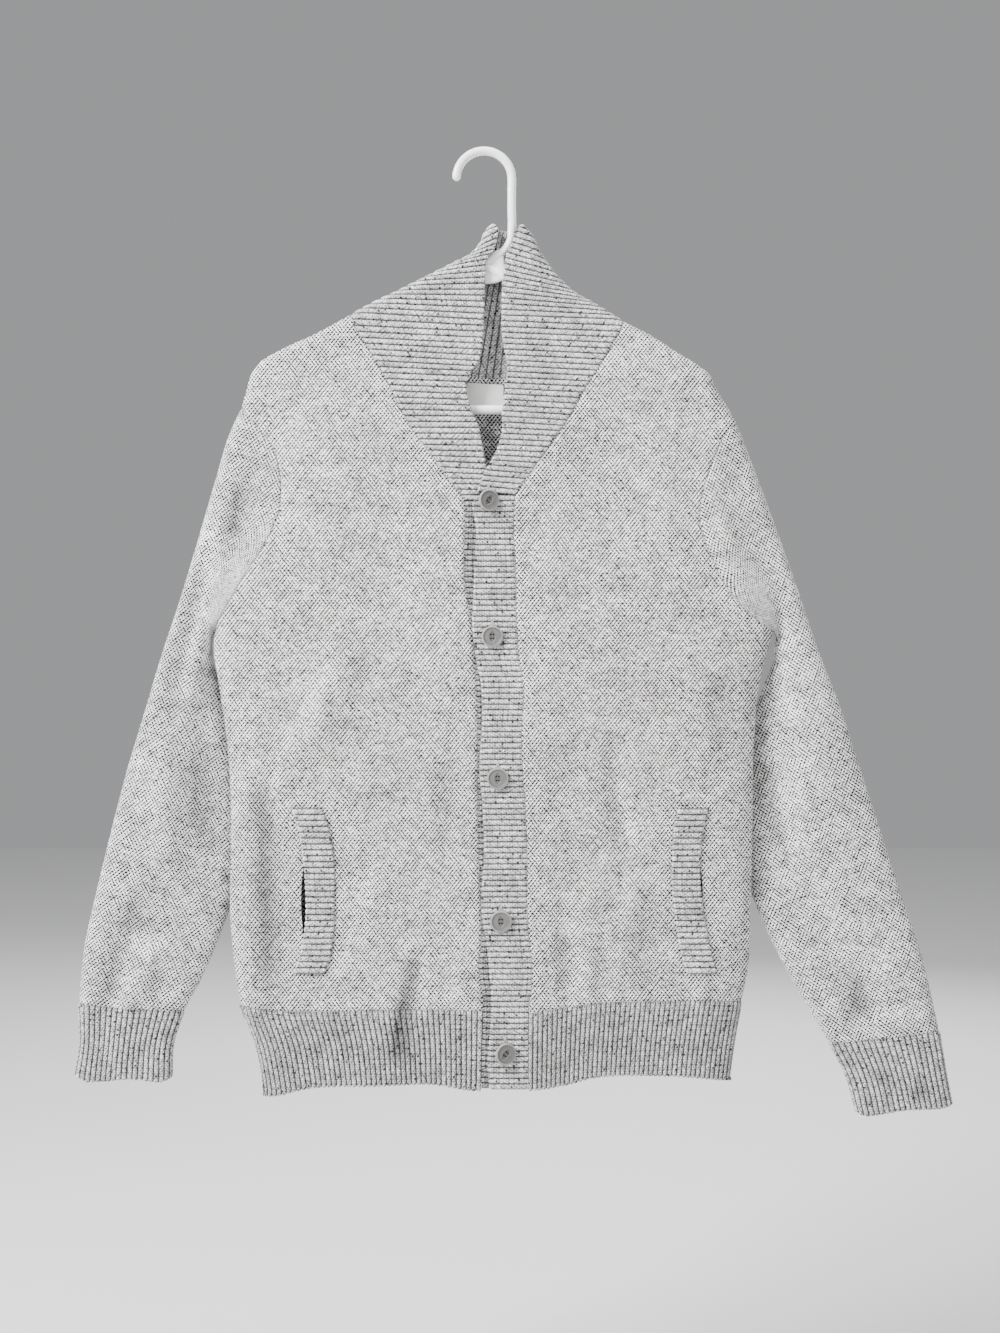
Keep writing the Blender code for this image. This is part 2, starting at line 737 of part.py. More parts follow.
def rim_faces(outer, inner, places, mirrored_from):
    """Faces of a rim between an outer run of points and a coarser inner run.

    From one cell on the faces are mirrored, so that both halves of a tube match their panels.
    """
    faces = []
    for cell in range(len(inner) - 1):
        first, last = places[cell], places[cell + 1]
        middle = (first + last + int(cell < mirrored_from)) // 2
        low, high = inner[cell], inner[cell + 1]
        faces += [(low, outer[j], outer[j + 1]) for j in range(first, middle)]
        faces.append((low, outer[middle], high))
        faces += [(high, outer[j], outer[j + 1]) for j in range(middle, last)]
    return faces


def add_wall(name, outer, inner, places, finish, closed=False):
    """Make a cloth wall from an outer and an inner grid.

    Places gives, for each inner column, the outer column it stands behind. Closed walls run round.
    """
    rows, columns = outer.shape[:2]
    inner_columns = inner.shape[1]
    count = rows * columns
    outer_index = np.arange(count).reshape(rows, columns)
    inner_index = count + np.arange(rows * inner_columns).reshape(rows, inner_columns)
    places = list(places)
    if closed:
        outer_index = np.concatenate([outer_index, outer_index[:, :1]], axis=1)
        inner_index = np.concatenate([inner_index, inner_index[:, :1]], axis=1)
        places.append(columns)
    faces = []
    for grid in (outer_index, inner_index):
        corners = (grid[:-1, :-1], grid[:-1, 1:], grid[1:, 1:], grid[1:, :-1])
        faces += np.stack([corner.ravel() for corner in corners], -1).tolist()
    mirrored_from = inner_columns // 2 if closed else inner_columns
    for row in (0, -1):
        faces += rim_faces(outer_index[row].tolist(), inner_index[row].tolist(), places, mirrored_from)
    if not closed:
        for column in (0, -1):
            outer_side, inner_side = outer_index[:, column].tolist(), inner_index[:, column].tolist()
            faces += rim_faces(outer_side, inner_side, range(rows), rows)
    points = np.concatenate([outer.reshape(-1, 3), inner.reshape(-1, 3)])
    return add_object(name, points, faces, finish)


def armhole(side, facing):
    """Armhole seam on the front or back of one side, from the shoulder to the underarm."""
    column = 1 + 2 * side + facing
    top = SHOULDERS[side][-1][1]
    rows = [(row[column], top + (UNDERARM - top) * row[0]) for row in ARMHOLES]
    return along(table(rows, 0, 1), ARMHOLE_SHARES)


def armhole_frame(side, facing):
    """Seam frame of an armhole half. Its ends turn over the shoulder and under the arm."""
    shoulder = table(SHOULDERS[side], 0, 1)
    tip = outline_normal(shoulder, BODY_MIDDLE)[-1]
    steps = [unit(line[-1] - line[-2]) for line in (armhole(side, 0), armhole(side, 1))]
    across, drop = unit(steps[0] + steps[1])
    surface = back_y if facing else FRONT_SURFACES[side]
    toward = np.array([(1.0, -1.0)[side], 0.0, 0.0])
    return seam_frame(armhole(side, facing), surface, (tip, np.array([across, 0.0, drop])), toward)


def side_seam(side, heights):
    """Side seam of one side at the given heights."""
    return np.stack([across_at(BODY_EDGES, 1 + side, heights), heights], -1)


def neck_corner(side):
    """Normal of the outline where shoulder and collar meet."""
    return outline_normal(table(SHOULDERS[side], 0, 1), BODY_MIDDLE)[0]


def collar_seam(side):
    """Collar seam of one front at the panel's rows, from the neck point to the band."""
    return along(table(COLLAR_SEAMS[side], 0, 1)[::-1], COLLAR_SEAM_SHARES)


def collar_frame(side):
    """Seam frame between a front and the collar, from the neck point to the band."""
    toward = np.array([(-1.0, 1.0)[side], 0.0, 0.0])
    return seam_frame(collar_seam(side), FRONT_SURFACES[side], (neck_corner(side), None), toward)


def neck_frame():
    """Seam frame between the back and the collar, from the right neck point to the left."""
    points = along(table(BACK_NECK, 0, 1), NECK_SHARES)
    toward = np.stack([points[:, 0] / NECK_HALF_WIDTH, np.zeros(len(points)), -np.ones(len(points))], -1)
    return seam_frame(points, back_y, (neck_corner(0), neck_corner(1)), toward)


def band_seam(side):
    """Seam between a front and its band, at the panel's rows and then the hem's."""
    first = collar_seam(side)[-1, 1]
    join_across, low_across = (value * MM for value in HEM_AT_BAND[side])
    join, low = height_at(1, join_across), height_at(2, low_across)
    upper = np.linspace(first, UNDERARM * MM, BAND_ROWS_ABOVE_UNDERARM + 1)
    lower = np.linspace(UNDERARM * MM, join, ROWS_BELOW_UNDERARM + 1)[1:]
    heights = np.concatenate([upper, lower])
    across = across_at(BAND_LINES, (1, 3)[side], heights)
    across[-1] = join_across
    down = np.linspace(0.0, 1.0, FRONT_HEM_ROWS)[1:]
    hem = np.stack([join_across + (low_across - join_across) * down, join + (low - join) * down], -1)
    return np.concatenate([np.stack([across, heights], -1), hem])


def side_join(side):
    """Height of the hem's join at one side seam."""
    return height_at(1, BODY_EDGES[JOIN_ROW][1 + side] * MM)


def body_edge(side, facing):
    """Armhole and side seam of one side, from the shoulder to the hem's join."""
    heights = np.linspace(UNDERARM * MM, side_join(side), ROWS_BELOW_UNDERARM + 1)[1:]
    return np.concatenate([armhole(side, facing), side_seam(side, heights)])


def front_points(side):
    """Grid (across, height) of one front, from its side to its centre."""
    edge = body_edge(side, 0)
    centre = np.concatenate([collar_seam(side)[:-1], band_seam(side)[:-FRONT_HEM_ROWS + 1]])
    top = along(table(SHOULDERS[side], 0, 1)[::-1], FRONT_SHARES)
    across = edge[-1, 0] + (centre[-1, 0] - edge[-1, 0]) * np.array(FRONT_SHARES)
    bottom = np.stack([across, height_at(1, across)], -1)
    return patch(edge, centre, top, bottom, FRONT_SHARES, FRONT_SHARES)


def panel_walls(points, surface):
    """Outer points and normals of a panel, with its hem join parted and squared."""
    outer = lay(points, surface(points))
    normals = surface_normal(surface, points)
    outer[-1, :, 2] += SEAM_HALF
    normals[-1, :, 2] = 0.0
    return outer, unit(normals)


def part_halves(outer, inner, facing, places):
    """Part the front from the back where both reach the middle plane at the outline."""
    keep_off = facing * SEAM_HALF
    for grid in (outer, inner):
        grid[..., 1] = facing * np.maximum(facing * grid[..., 1], SEAM_HALF)
        for place in places:
            grid[place + (1,)] = keep_off


def add_front(name, side):
    """Front panel from the shoulder to the hem's join."""
    points = front_points(side)
    under, seam_rows = len(ARMHOLE_SHARES) - 1, len(COLLAR_SEAM_SHARES)
    outer, normals = panel_walls(points, FRONT_SURFACES[side])
    normals[0] = outline_normal(points[0], BODY_MIDDLE)
    normals[under:, 0] = side_normals(points[under:, 0])
    base, seam_normals, cross = armhole_frame(side, 0)
    outer[:under + 1, 0] = base + cross * SEAM_HALF
    normals[:under + 1, 0] = seam_normals
    base, seam_normals, cross = collar_frame(side)
    outer[:seam_rows, -1] = base + cross * SEAM_HALF
    normals[:seam_rows, -1] = seam_normals
    outer[seam_rows:, -1, 0] += (-SEAM_HALF, SEAM_HALF)[side]
    normals[seam_rows:, -1] = (0.0, -1.0, 0.0)
    inner = outer - normals * WALL
    part_halves(outer, inner, -1.0, [(0, slice(None)), (slice(under, None), 0)])
    made = add_wall(name, outer, inner, range(outer.shape[1]), KNIT_BODY)
    cut_slit(made, SLITS[side])
    return made


def cut_slit(panel, slit):
    """Cut a lens-shaped pocket mouth through a front."""
    top, bottom, mouth, hidden = (value * MM for value in slit)
    share = np.linspace(0.0, 1.0, SLIT_STEPS)
    height = top + (bottom - top) * share
    bow = np.sin(np.pi * share)
    middle = (mouth + hidden) / 2
    one_side = np.stack([middle + (mouth - middle) * bow, height], -1)
    other_side = np.stack([middle + (hidden - middle) * bow, height], -1)[-2:0:-1]
    ring = np.concatenate([one_side, other_side])
    near, far = lay(ring, -FRONT_DEPTH - CUTTER_REACH), lay(ring, -FRONT_DEPTH + CUTTER_REACH)
    cutter = add_prism(panel.name + "_slit_cutter", near, far, KNIT_BODY)
    use_cutter(panel, cutter, "DIFFERENCE")


def add_prism(name, near, far, finish):
    """Make a solid between two matching rings of points."""
    count = len(near)
    faces = [tuple(range(count)), tuple(range(count, 2 * count))]
    faces += [(j, (j + 1) % count, count + (j + 1) % count, count + j) for j in range(count)]
    return add_object(name, np.concatenate([near, far]), faces, finish, smooth_shade=False)


def use_cutter(target, cutter, operation):
    """Cut or join with another shape, which is then left out of the model."""
    cutter.hide_render = True
    cutter.display_type = "WIRE"
    cut = target.modifiers.new(cutter.name, "BOOLEAN")
    cut.operation = operation
    cut.solver = "EXACT"
    cut.object = cutter


def back_points():
    """Grid (across, height) of the back, from its right side to its left."""
    shares = np.linspace(0.0, 1.0, SHOULDER_COLUMNS + 1)
    right = along(table(RIGHT_SHOULDER, 0, 1)[::-1], shares ** TIP_CROWDING)
    left = along(table(LEFT_SHOULDER, 0, 1), 1 - (1 - shares) ** TIP_CROWDING)
    neck = along(table(BACK_NECK, 0, 1), NECK_SHARES)
    top = np.concatenate([right, neck[1:], left[1:]])
    top_shares = (top[:, 0] - top[0, 0]) / (top[-1, 0] - top[0, 0])
    even = np.linspace(0.0, 1.0, len(top))
    bottom_shares = even + TOP_PULL * (top_shares - even)
    bottom_shares[:len(SIDE_SHARES)] = SIDE_SHARES
    bottom_shares[-len(SIDE_SHARES):] = 1 - np.array(SIDE_SHARES)[::-1]
    edges = [body_edge(side, 1) for side in (0, 1)]
    bottom = edges[0][-1] + (edges[1][-1] - edges[0][-1]) * bottom_shares[:, None]
    return patch(edges[0], edges[1], top, bottom, top_shares, bottom_shares)


def add_back():
    """Back panel from the shoulders and neck to the hem's join."""
    points = back_points()
    under = len(ARMHOLE_SHARES) - 1
    outer, normals = panel_walls(points, back_y)
    shoulders = (slice(0, SHOULDER_COLUMNS + 1), slice(-SHOULDER_COLUMNS - 1, None))
    for columns in shoulders:
        normals[0, columns] = outline_normal(points[0, columns], BODY_MIDDLE)
    neck = slice(SHOULDER_COLUMNS, SHOULDER_COLUMNS + len(NECK_SHARES))
    base, seam_normals, cross = neck_frame()
    outer[0, neck] = base + cross * SEAM_HALF
    normals[0, neck] = seam_normals
    for side, column in ((0, 0), (1, -1)):
        normals[under:, column] = side_normals(points[under:, column])
        base, seam_normals, cross = armhole_frame(side, 1)
        outer[:under + 1, column] = base + cross * SEAM_HALF
        normals[:under + 1, column] = seam_normals
    inner = outer - normals * WALL
    on_outline = [(0, columns) for columns in shoulders]
    on_outline += [(slice(under, None), column) for column in (0, -1)]
    part_halves(outer, inner, 1.0, on_outline)
    return add_wall("back", outer, inner, range(outer.shape[1]), KNIT_BODY)


def tube_half(shares, outer, inner, yaw, depth, edge_round):
    """Front (negative depth) or back half of a flattened round section, outer edge to inner."""
    width = np.linalg.norm(inner - outer)
    place = outer + (inner - outer) * shares[:, None]
    rounded = rise(shares * width / edge_round) * rise((1 - shares) * width / edge_round)
    return lay(place, yaw * smooth((shares - YAW_START) / (1 - YAW_START)) + depth * rounded)


def down_the_arm(outer, inner):
    """Direction square to a straight section, in the front view, pointing down."""
    across = unit(inner - outer)
    square = np.array([-across[1], 0.0, across[0]])
    return square if square[2] < 0 else -square


def square_end(grid, normals, row, direction, shift):
    """Part a tube's end from its neighbour and square its end face to the arm."""
    grid[row] += direction * shift
    flat = normals[row] - (normals[row] @ direction)[:, None] * direction
    normals[row] = unit(flat)


def add_sleeve(name, side):
    """Sleeve from the armhole seam to the cuff, a flattened tube yawed behind the body."""
    rows = SLEEVES[side]
    shares = np.array(ARMHOLE_SHARES)
    tube_shares = TUBE_EASE * smooth(shares) + (1 - TUBE_EASE) * shares
    frames = [armhole_frame(side, facing) for facing in (0, 1)]
    surfaces = (FRONT_SURFACES[side], back_y)
    depths = (-SLEEVE_FRONT_DEPTH, SLEEVE_BACK_DEPTH)
    swell = np.sin(np.pi * shares) ** 0.5
    sections = []
    for row, outer, inner in zip(rows, table(rows, 0, 1), table(rows, 2, 3)):
        yaw, keep = row[4] * MM, row[5]
        run = shares * keep + tube_shares * (1 - keep)
        bend = (keep ** (1 + 3 * shares ** 2))[:, None]
        halves = []
        for (base, _, _), surface, depth in zip(frames, surfaces, depths):
            arm = base[:, (0, 2)]
            chord = arm[0] + (arm[-1] - arm[0]) * shares[:, None]
            own = tube_half(run, outer, inner, yaw, depth, SLEEVE_ROUND)
            place = own[:, (0, 2)] + bend * (arm - chord)
            folded = own[:, 1] + np.sign(depth) * fold_height(SLEEVE_FOLDS, place) * swell
            halves.append(lay(place, keep * surface(place) + (1 - keep) * folded))
        halves[0][(0, -1), 1] = halves[1][(0, -1), 1] = halves[1][(0, -1), 1] * (1 - keep)
        sections.append(np.concatenate([halves[0], halves[1][-2:0:-1]]))
    grid = np.array(sections)
    normals = grid_normal(grid, grid - grid.mean(axis=1, keepdims=True), closed=True)
    parts = [np.concatenate([front, back[-2:0:-1]]) for front, back in zip(*frames)]
    grid[0] = parts[0] - parts[2] * SEAM_HALF
    normals[0] = parts[1]
    down = down_the_arm(table(rows, 0, 1)[-1], table(rows, 2, 3)[-1])
    square_end(grid, normals, -1, down, -SEAM_HALF)
    return add_wall(name, grid, grid - normals * WALL, range(grid.shape[1]), KNIT_BODY, closed=True)


def add_cuff(name, side):
    """Ribbed cuff: a flattened tube whose ribs run down the arm."""
    rows = CUFFS[side]
    wave = table(CUFF_WAVES, 1 + side)[:, 0]
    wave_shares = np.array([row[0] for row in CUFF_WAVES])
    columns = CUFF_HALF_RIBS * COLUMNS_PER_RIB
    fine = np.linspace(0.0, 1.0, LINE_STEPS)
    sections = []
    for row, outer, inner in zip(rows, table(rows, 0, 1), table(rows, 2, 3)):
        yaw = row[4] * MM
        length = run_length(tube_half(fine, outer, inner, yaw, -CUFF_DEPTH, CUFF_ROUND))
        shares = np.interp(np.linspace(0.0, length[-1], columns + 1), length, fine)
        front = tube_half(shares, outer, inner, yaw, -CUFF_DEPTH, CUFF_ROUND)
        back = tube_half(shares, outer, inner, yaw, CUFF_DEPTH, CUFF_ROUND)
        front[:, 1] -= fold_height(SLEEVE_FOLDS, front[:, (0, 2)]) * np.sin(np.pi * shares) ** 0.5
        if row is rows[-1]:
            front[:, 2] += np.interp(shares, wave_shares, wave)
            back[:, 2] += np.interp(shares, wave_shares, wave)
        sections.append(np.concatenate([front, back[-2:0:-1]]))
    grid = np.array(sections)
    normals = grid_normal(grid, grid - grid.mean(axis=1, keepdims=True), closed=True)
    down = down_the_arm(table(rows, 0, 1)[0], table(rows, 2, 3)[0])
    square_end(grid, normals, 0, down, SEAM_HALF)
    half = rib_places(columns + 1, CUFF_INNER_STEP, (CUFF_FINE_COLUMNS, CUFF_FINE_COLUMNS))[:-1]
    places = half + [columns + place for place in half]
    inner_grid = (grid - normals * WALL)[:, places]
    grid[:, 1::COLUMNS_PER_RIB] += normals[:, 1::COLUMNS_PER_RIB] * RIB_HEIGHT
    return add_wall(name, grid, inner_grid, places, KNIT_RIB, closed=True)


def with_stations(places, values, stations):
    """Inner columns, with those nearest to the stations of the neighbouring piece added."""
    nearest = [int(np.abs(values - station).argmin()) for station in stations]
    return sorted(set(places) | set(nearest))


def rib_places(count, step, fine_ends):
    """Outer columns that get an inner column: one a rib near round ends, fewer on the flat."""
    places = []
    column = 0
    while column < count - 1:
        places.append(column)
        near_end = column < fine_ends[0] or column >= count - 1 - fine_ends[1]
        column += COLUMNS_PER_RIB if near_end else step
    return places + [count - 1]


def add_hem(name, ribs, join, ends, surface):
    """Ribbed hem piece under a panel.

    Join is the panel's lower row. Each end is a line down the hem and whether it is a side seam.
    """
    facing = 1.0 if surface is back_y else -1.0
    columns = ribs * COLUMNS_PER_RIB + 1
    order = np.argsort(join[:, 0])
    join_across, join_height = join[order, 0], join[order, 1]
    first, last = ends[0][0], ends[1][0]
    fine = np.linspace(first[0, 0], last[0, 0], LINE_STEPS)
    top = np.stack([fine, np.interp(fine, join_across, join_height)], -1)
    length = run_length(lay(top, surface(top)))
    across = np.interp(np.linspace(0.0, length[-1], columns), length, fine)
    shares = (across - across[0]) / (across[-1] - across[0])
    across = first[:, :1] + (last[:, :1] - first[:, :1]) * shares
    down = np.linspace(0.0, 1.0, len(first))[:, None]
    upper = np.interp(across[0], join_across, join_height) - SEAM_HALF
    points = np.stack([across, upper + (height_at(2, across[-1]) - upper) * down], -1)
    outer = lay(points, surface(points))
    normals = surface_normal(surface, points)
    normals[0, :, 2] = 0.0
    normals = unit(normals)
    for column, (line, is_side) in zip((0, -1), ends):
        if is_side:
            normals[:, column] = side_normals(points[::-1, column])[::-1]
            outer[:, column, 1] = facing * SEAM_HALF
        else:
            outer[:, column, 0] += SEAM_HALF if column == 0 else -SEAM_HALF
            normals[:, column] = (0.0, facing, 0.0)
    outer[..., 1] = facing * np.maximum(facing * outer[..., 1], SEAM_HALF)
    fine_ends = [HEM_FINE_COLUMNS if is_side else 0 for _, is_side in ends]
    places = rib_places(columns, HEM_INNER_STEP, fine_ends)
    if surface is not back_y:
        places = with_stations(places, across[0], join_across)
    inner = (outer - normals * WALL)[:, places]
    inner[..., 1] = facing * np.maximum(facing * inner[..., 1], SEAM_HALF)
    outer[:, 1::COLUMNS_PER_RIB] += normals[:, 1::COLUMNS_PER_RIB] * RIB_HEIGHT
    return add_wall(name, outer, inner, places, KNIT_RIB)


def hem_side(side, rows):
    """Side seam down the hem, as a hem's end line."""
    low = height_at(2, BODY_EDGES[-1][1 + side] * MM)
    return side_seam(side, np.linspace(side_join(side), low, rows)), True


def add_hems():
    """The three hem pieces: one under each front and one under the back."""
    right_band = (band_seam(0)[-FRONT_HEM_ROWS:], False)
    left_band = (band_seam(1)[-FRONT_HEM_ROWS:], False)
    right_ends = (hem_side(0, FRONT_HEM_ROWS), right_band)
    left_ends = (left_band, hem_side(1, FRONT_HEM_ROWS))
    add_hem("right_hem_rib", HEM_HALF_RIBS, front_points(0)[-1], right_ends, front_y)
    add_hem("left_hem_rib", HEM_HALF_RIBS, front_points(1)[-1], left_ends, raised_front_y)
    back_ends = (hem_side(0, BACK_HEM_ROWS), hem_side(1, BACK_HEM_ROWS))
    add_hem("back_hem_rib", HEM_BACK_RIBS, back_points()[-1], back_ends, back_y)


def collar_lines():
    """Seam frame, outline crossing and free edge of every rib line, left wing to right wing."""
    wing_count = WING_RIBS * COLUMNS_PER_RIB + 1
    side_count = NECK_SIDE_RIBS * COLUMNS_PER_RIB
    neck_count = (2 * NECK_SIDE_RIBS + NECK_BACK_RIBS) * COLUMNS_PER_RIB + 1
    edge_shares = np.linspace(0.0, 1.0, wing_count + side_count)
    left = sample_frame([part[::-1] for part in collar_frame(1)], wing_count)
    neck = sample_frame([part[::-1] for part in neck_frame()], neck_count)
    right = sample_frame(collar_frame(0), wing_count)
    seam = [np.concatenate([a, b[1:-1], c]) for a, b, c in zip(left, neck, right)]
    place = seam[0][:, (0, 2)]
    top_shares = np.linspace(0.0, 1.0, side_count + 1)[1:]
    left_top = along(table(LEFT_COLLAR_TOP, 0, 1), top_shares)
    right_top = along(table(RIGHT_COLLAR_TOP, 0, 1), top_shares)
    back_shares = np.linspace(0.0, 1.0, NECK_BACK_RIBS * COLUMNS_PER_RIB + 1)
    back_top = along(table(COLLAR_BACK_TOP, 0, 1)[::-1], back_shares)
    crossing = np.concatenate([
        place[:wing_count], left_top, back_top[1:-1], right_top[::-1], place[-wing_count:],
    ])
    left_edge = along(table(LEFT_COLLAR_EDGE, 0, 1), edge_shares)
    right_edge = along(table(RIGHT_COLLAR_EDGE, 0, 1), edge_shares)
    edge = np.concatenate([left_edge, back_top[1:-1], right_edge[::-1]])
    return seam, place, crossing, edge


def collar_rows(before, after):
    """Places along each rib line: closer together at the outline, with one of them on it."""
    total = before + after
    fine = np.linspace(0.0, 1.0, LINE_STEPS)
    crossing = smooth(before / CROSSING_BEFORE) * smooth(after / CROSSING_AFTER)
    away = (fine[None] * total[:, None] - before[:, None]) / CROSSING_REACH
    density = 1 + CROSSING_CROWDING * crossing[:, None] * np.exp(-away ** 2)
    grown = np.cumsum(density, axis=1)
    grown = (grown - grown[:, :1]) / (grown[:, -1:] - grown[:, :1])
    wanted = np.linspace(0.0, 1.0, COLLAR_ROWS + 1)
    rows = np.stack([np.interp(wanted, line, fine) for line in grown]) * total[:, None]
    for line, place, rest in zip(rows, before, after):
        nearest = int(np.abs(line[1:-1] - place).argmin()) + 1
        if place > 0 and rest > 0 and abs(line[nearest] - place) < CROSSING_SNAP:
            line[nearest] = place
    return rows


def collar_places(columns):
    """Inner columns of the collar: close together where the rib lines fan out, mirrored."""
    half = []
    column = 0
    for end, step in COLLAR_INNER_STEPS:
        half += list(range(column, end * COLUMNS_PER_RIB, step))
        column = end * COLUMNS_PER_RIB
    return half + [columns - 1 - place for place in half[::-1]]


def add_collar():
    """Shawl collar: ribbed strip from the front seams over the outline to the free edge."""
    (base, seam_normals, cross), seam, top, edge = collar_lines()
    before = np.linalg.norm(top - seam, axis=1)
    after = np.linalg.norm(edge - top, axis=1)
    rows = collar_rows(before, after)
    columns = len(seam)
    on_left = np.arange(columns) < columns // 2
    grid = np.zeros((COLLAR_ROWS + 1, columns, 3))
    for row in range(COLLAR_ROWS + 1):
        place = rows[:, row]
        behind = place < before - TINY
        share_back = (place / np.maximum(before, TINY))[:, None]
        share_front = ((place - before) / np.maximum(after, TINY))[:, None]
        points = np.where(behind[:, None], seam + (top - seam) * share_back, top + (edge - top) * share_front)
        front = np.where(on_left, raised_front_y(points), front_y(points))
        grid[row] = lay(points, np.where(behind | (after < TINY), back_y(points), front))
    outside = grid - COLLAR_MIDDLE
    outside[..., 1] *= COLLAR_FLATNESS
    normals = grid_normal(grid, outside)
    normals[0] = seam_normals
    grid[0] = base - cross * COLLAR_SEAM_HALF
    grid[:, 0, 2] += SEAM_HALF
    grid[:, -1, 2] += SEAM_HALF
    places = collar_places(columns)
    inner = (grid - normals * WALL)[:, places]
    grid[:, 1::COLUMNS_PER_RIB] += normals[:, 1::COLUMNS_PER_RIB] * RIB_HEIGHT
    return add_wall("shawl_collar", grid, inner, places, KNIT_RIB)


def add_band(name, side, top, free_edge):
    """Ribbed front band: its ribs run across, between a free edge and the front's seam."""
    columns = BAND_RIBS * COLUMNS_PER_RIB + 1
    heights = np.linspace(top, BAND_BOTTOM, columns) * MM
    line = band_seam(side)
    seam = np.interp(-heights, -line[:, 1], line[:, 0]) + (SEAM_HALF, -SEAM_HALF)[side]
    points = np.stack([np.stack([edge, heights], -1) for edge in (seam, free_edge(heights))])
    outer = lay(points, FRONT_SURFACES[side](points))
    inner = outer + np.array([0.0, WALL, 0.0])
    places = with_stations([*range(0, columns - 1, BAND_INNER_STEP), columns - 1], heights, line[1:, 1])
    outer[:, 1::COLUMNS_PER_RIB, 1] -= RIB_HEIGHT
    return add_wall(name, outer, inner[:, places], places, KNIT_RIB)


def under_band_edge(heights):
    """Free edge of the under band, hidden under the upper one."""
    return np.full(len(heights), UNDER_BAND_EDGE * MM)


def upper_band_edge(heights):
    """Free edge of the upper band, which bows with the cloth."""
    return across_at(BAND_LINES, 2, heights)


def add_welt(name, side):
    """Ribbed pocket welt laid on a front."""
    columns = WELT_RIBS * COLUMNS_PER_RIB + 1
    heights = np.linspace(WELTS[0][0], WELTS[-1][0], columns) * MM
    sides = [across_at(WELTS, column, heights) for column in ((1, 2), (3, 4))[side]]
    points = np.stack([np.stack([edge, heights], -1) for edge in sides])
    inner = lay(points, FRONT_SURFACES[side](points) - WELT_GAP)
    outer = inner - np.array([0.0, WELT_WALL, 0.0])
    places = list(range(0, columns - 1, WELT_INNER_STEP)) + [columns - 1]
    outer[:, 1::COLUMNS_PER_RIB, 1] -= RIB_HEIGHT
    return add_wall(name, outer, inner[:, places], places, KNIT_RIB)


def add_button(name, across, height, turn, tip):
    """Four-hole button with a raised rim, lying on the upper band."""
    rings = (
        (0.0, BUTTON_RIM_RADIUS),
        (BUTTON_THICKNESS * 0.5, BUTTON_RADIUS),
        (BUTTON_THICKNESS, BUTTON_RIM_RADIUS),
        (BUTTON_THICKNESS - BUTTON_DISH, BUTTON_DISH_RADIUS),
    )
    angle = np.arange(BUTTON_SIDES) * 2 * np.pi / BUTTON_SIDES
    points = [(radius * np.cos(a), -lift, radius * np.sin(a)) for lift, radius in rings for a in angle]
    faces = [tuple(range(BUTTON_SIDES)), tuple(range(3 * BUTTON_SIDES, 4 * BUTTON_SIDES))]
    for ring in range(3):
        base = ring * BUTTON_SIDES
        for j in range(BUTTON_SIDES):
            k = (j + 1) % BUTTON_SIDES
            faces.append((base + j, base + k, base + BUTTON_SIDES + k, base + BUTTON_SIDES + j))
    button = add_object(name, points, faces, BUTTON_FINISH)
    cutter = button_holes(name)
    use_cutter(button, cutter, "DIFFERENCE")
    place = np.array([[across * MM, height * MM]])
    front = raised_front_y(place)[0] - RIB_HEIGHT - BUTTON_GAP
    reach = math.sin(math.radians(tip)) * BUTTON_RADIUS
    location = (across * MM, front - reach, height * MM)
    for made in (button, cutter):
        made.rotation_mode = "YXZ"
        made.rotation_euler = (0.0, math.radians(turn), math.radians(tip))
        made.location = location
    return button


def button_holes(name):
    """Cutting shape of the four thread holes."""
    angle = (np.arange(HOLE_SIDES) + 0.5) * 2 * np.pi / HOLE_SIDES
    ring = BUTTON_HOLE_RADIUS * np.stack([np.cos(angle), np.sin(angle)], -1)
    points, faces = [], []
    for sign_x, sign_z in ((-1, -1), (1, -1), (1, 1), (-1, 1)):
        base = len(points)
        place = ring + np.array([sign_x, sign_z]) * BUTTON_HOLE_OFFSET
        points += [*lay(place, -2 * BUTTON_THICKNESS), *lay(place, BUTTON_THICKNESS)]
        faces += [tuple(base + j for j in range(HOLE_SIDES))]
        faces += [tuple(base + HOLE_SIDES + j for j in range(HOLE_SIDES))]
        for j in range(HOLE_SIDES):
            k = (j + 1) % HOLE_SIDES
            faces.append((base + j, base + k, base + HOLE_SIDES + k, base + HOLE_SIDES + j))
    return add_object(name + "_holes", points, faces, BUTTON_FINISH, smooth_shade=False)


def add_label():
    """Bare neck label, sewn on along its top at the back neck seam."""
    across = np.linspace(LABEL_LEFT, LABEL_RIGHT, 4)
    share = (across - LABEL_LEFT) / (LABEL_RIGHT - LABEL_LEFT)
    top = LABEL_TOP - LABEL_DROP * share
    points = np.stack([np.stack([across, top], -1), np.stack([across, top - LABEL_HEIGHT], -1)])
    front = lay(points, LABEL_FRONT)
    back = lay(points, LABEL_FRONT + LABEL_WALL)
    return add_wall("neck_label", front, back, range(4), LABEL_FINISH)


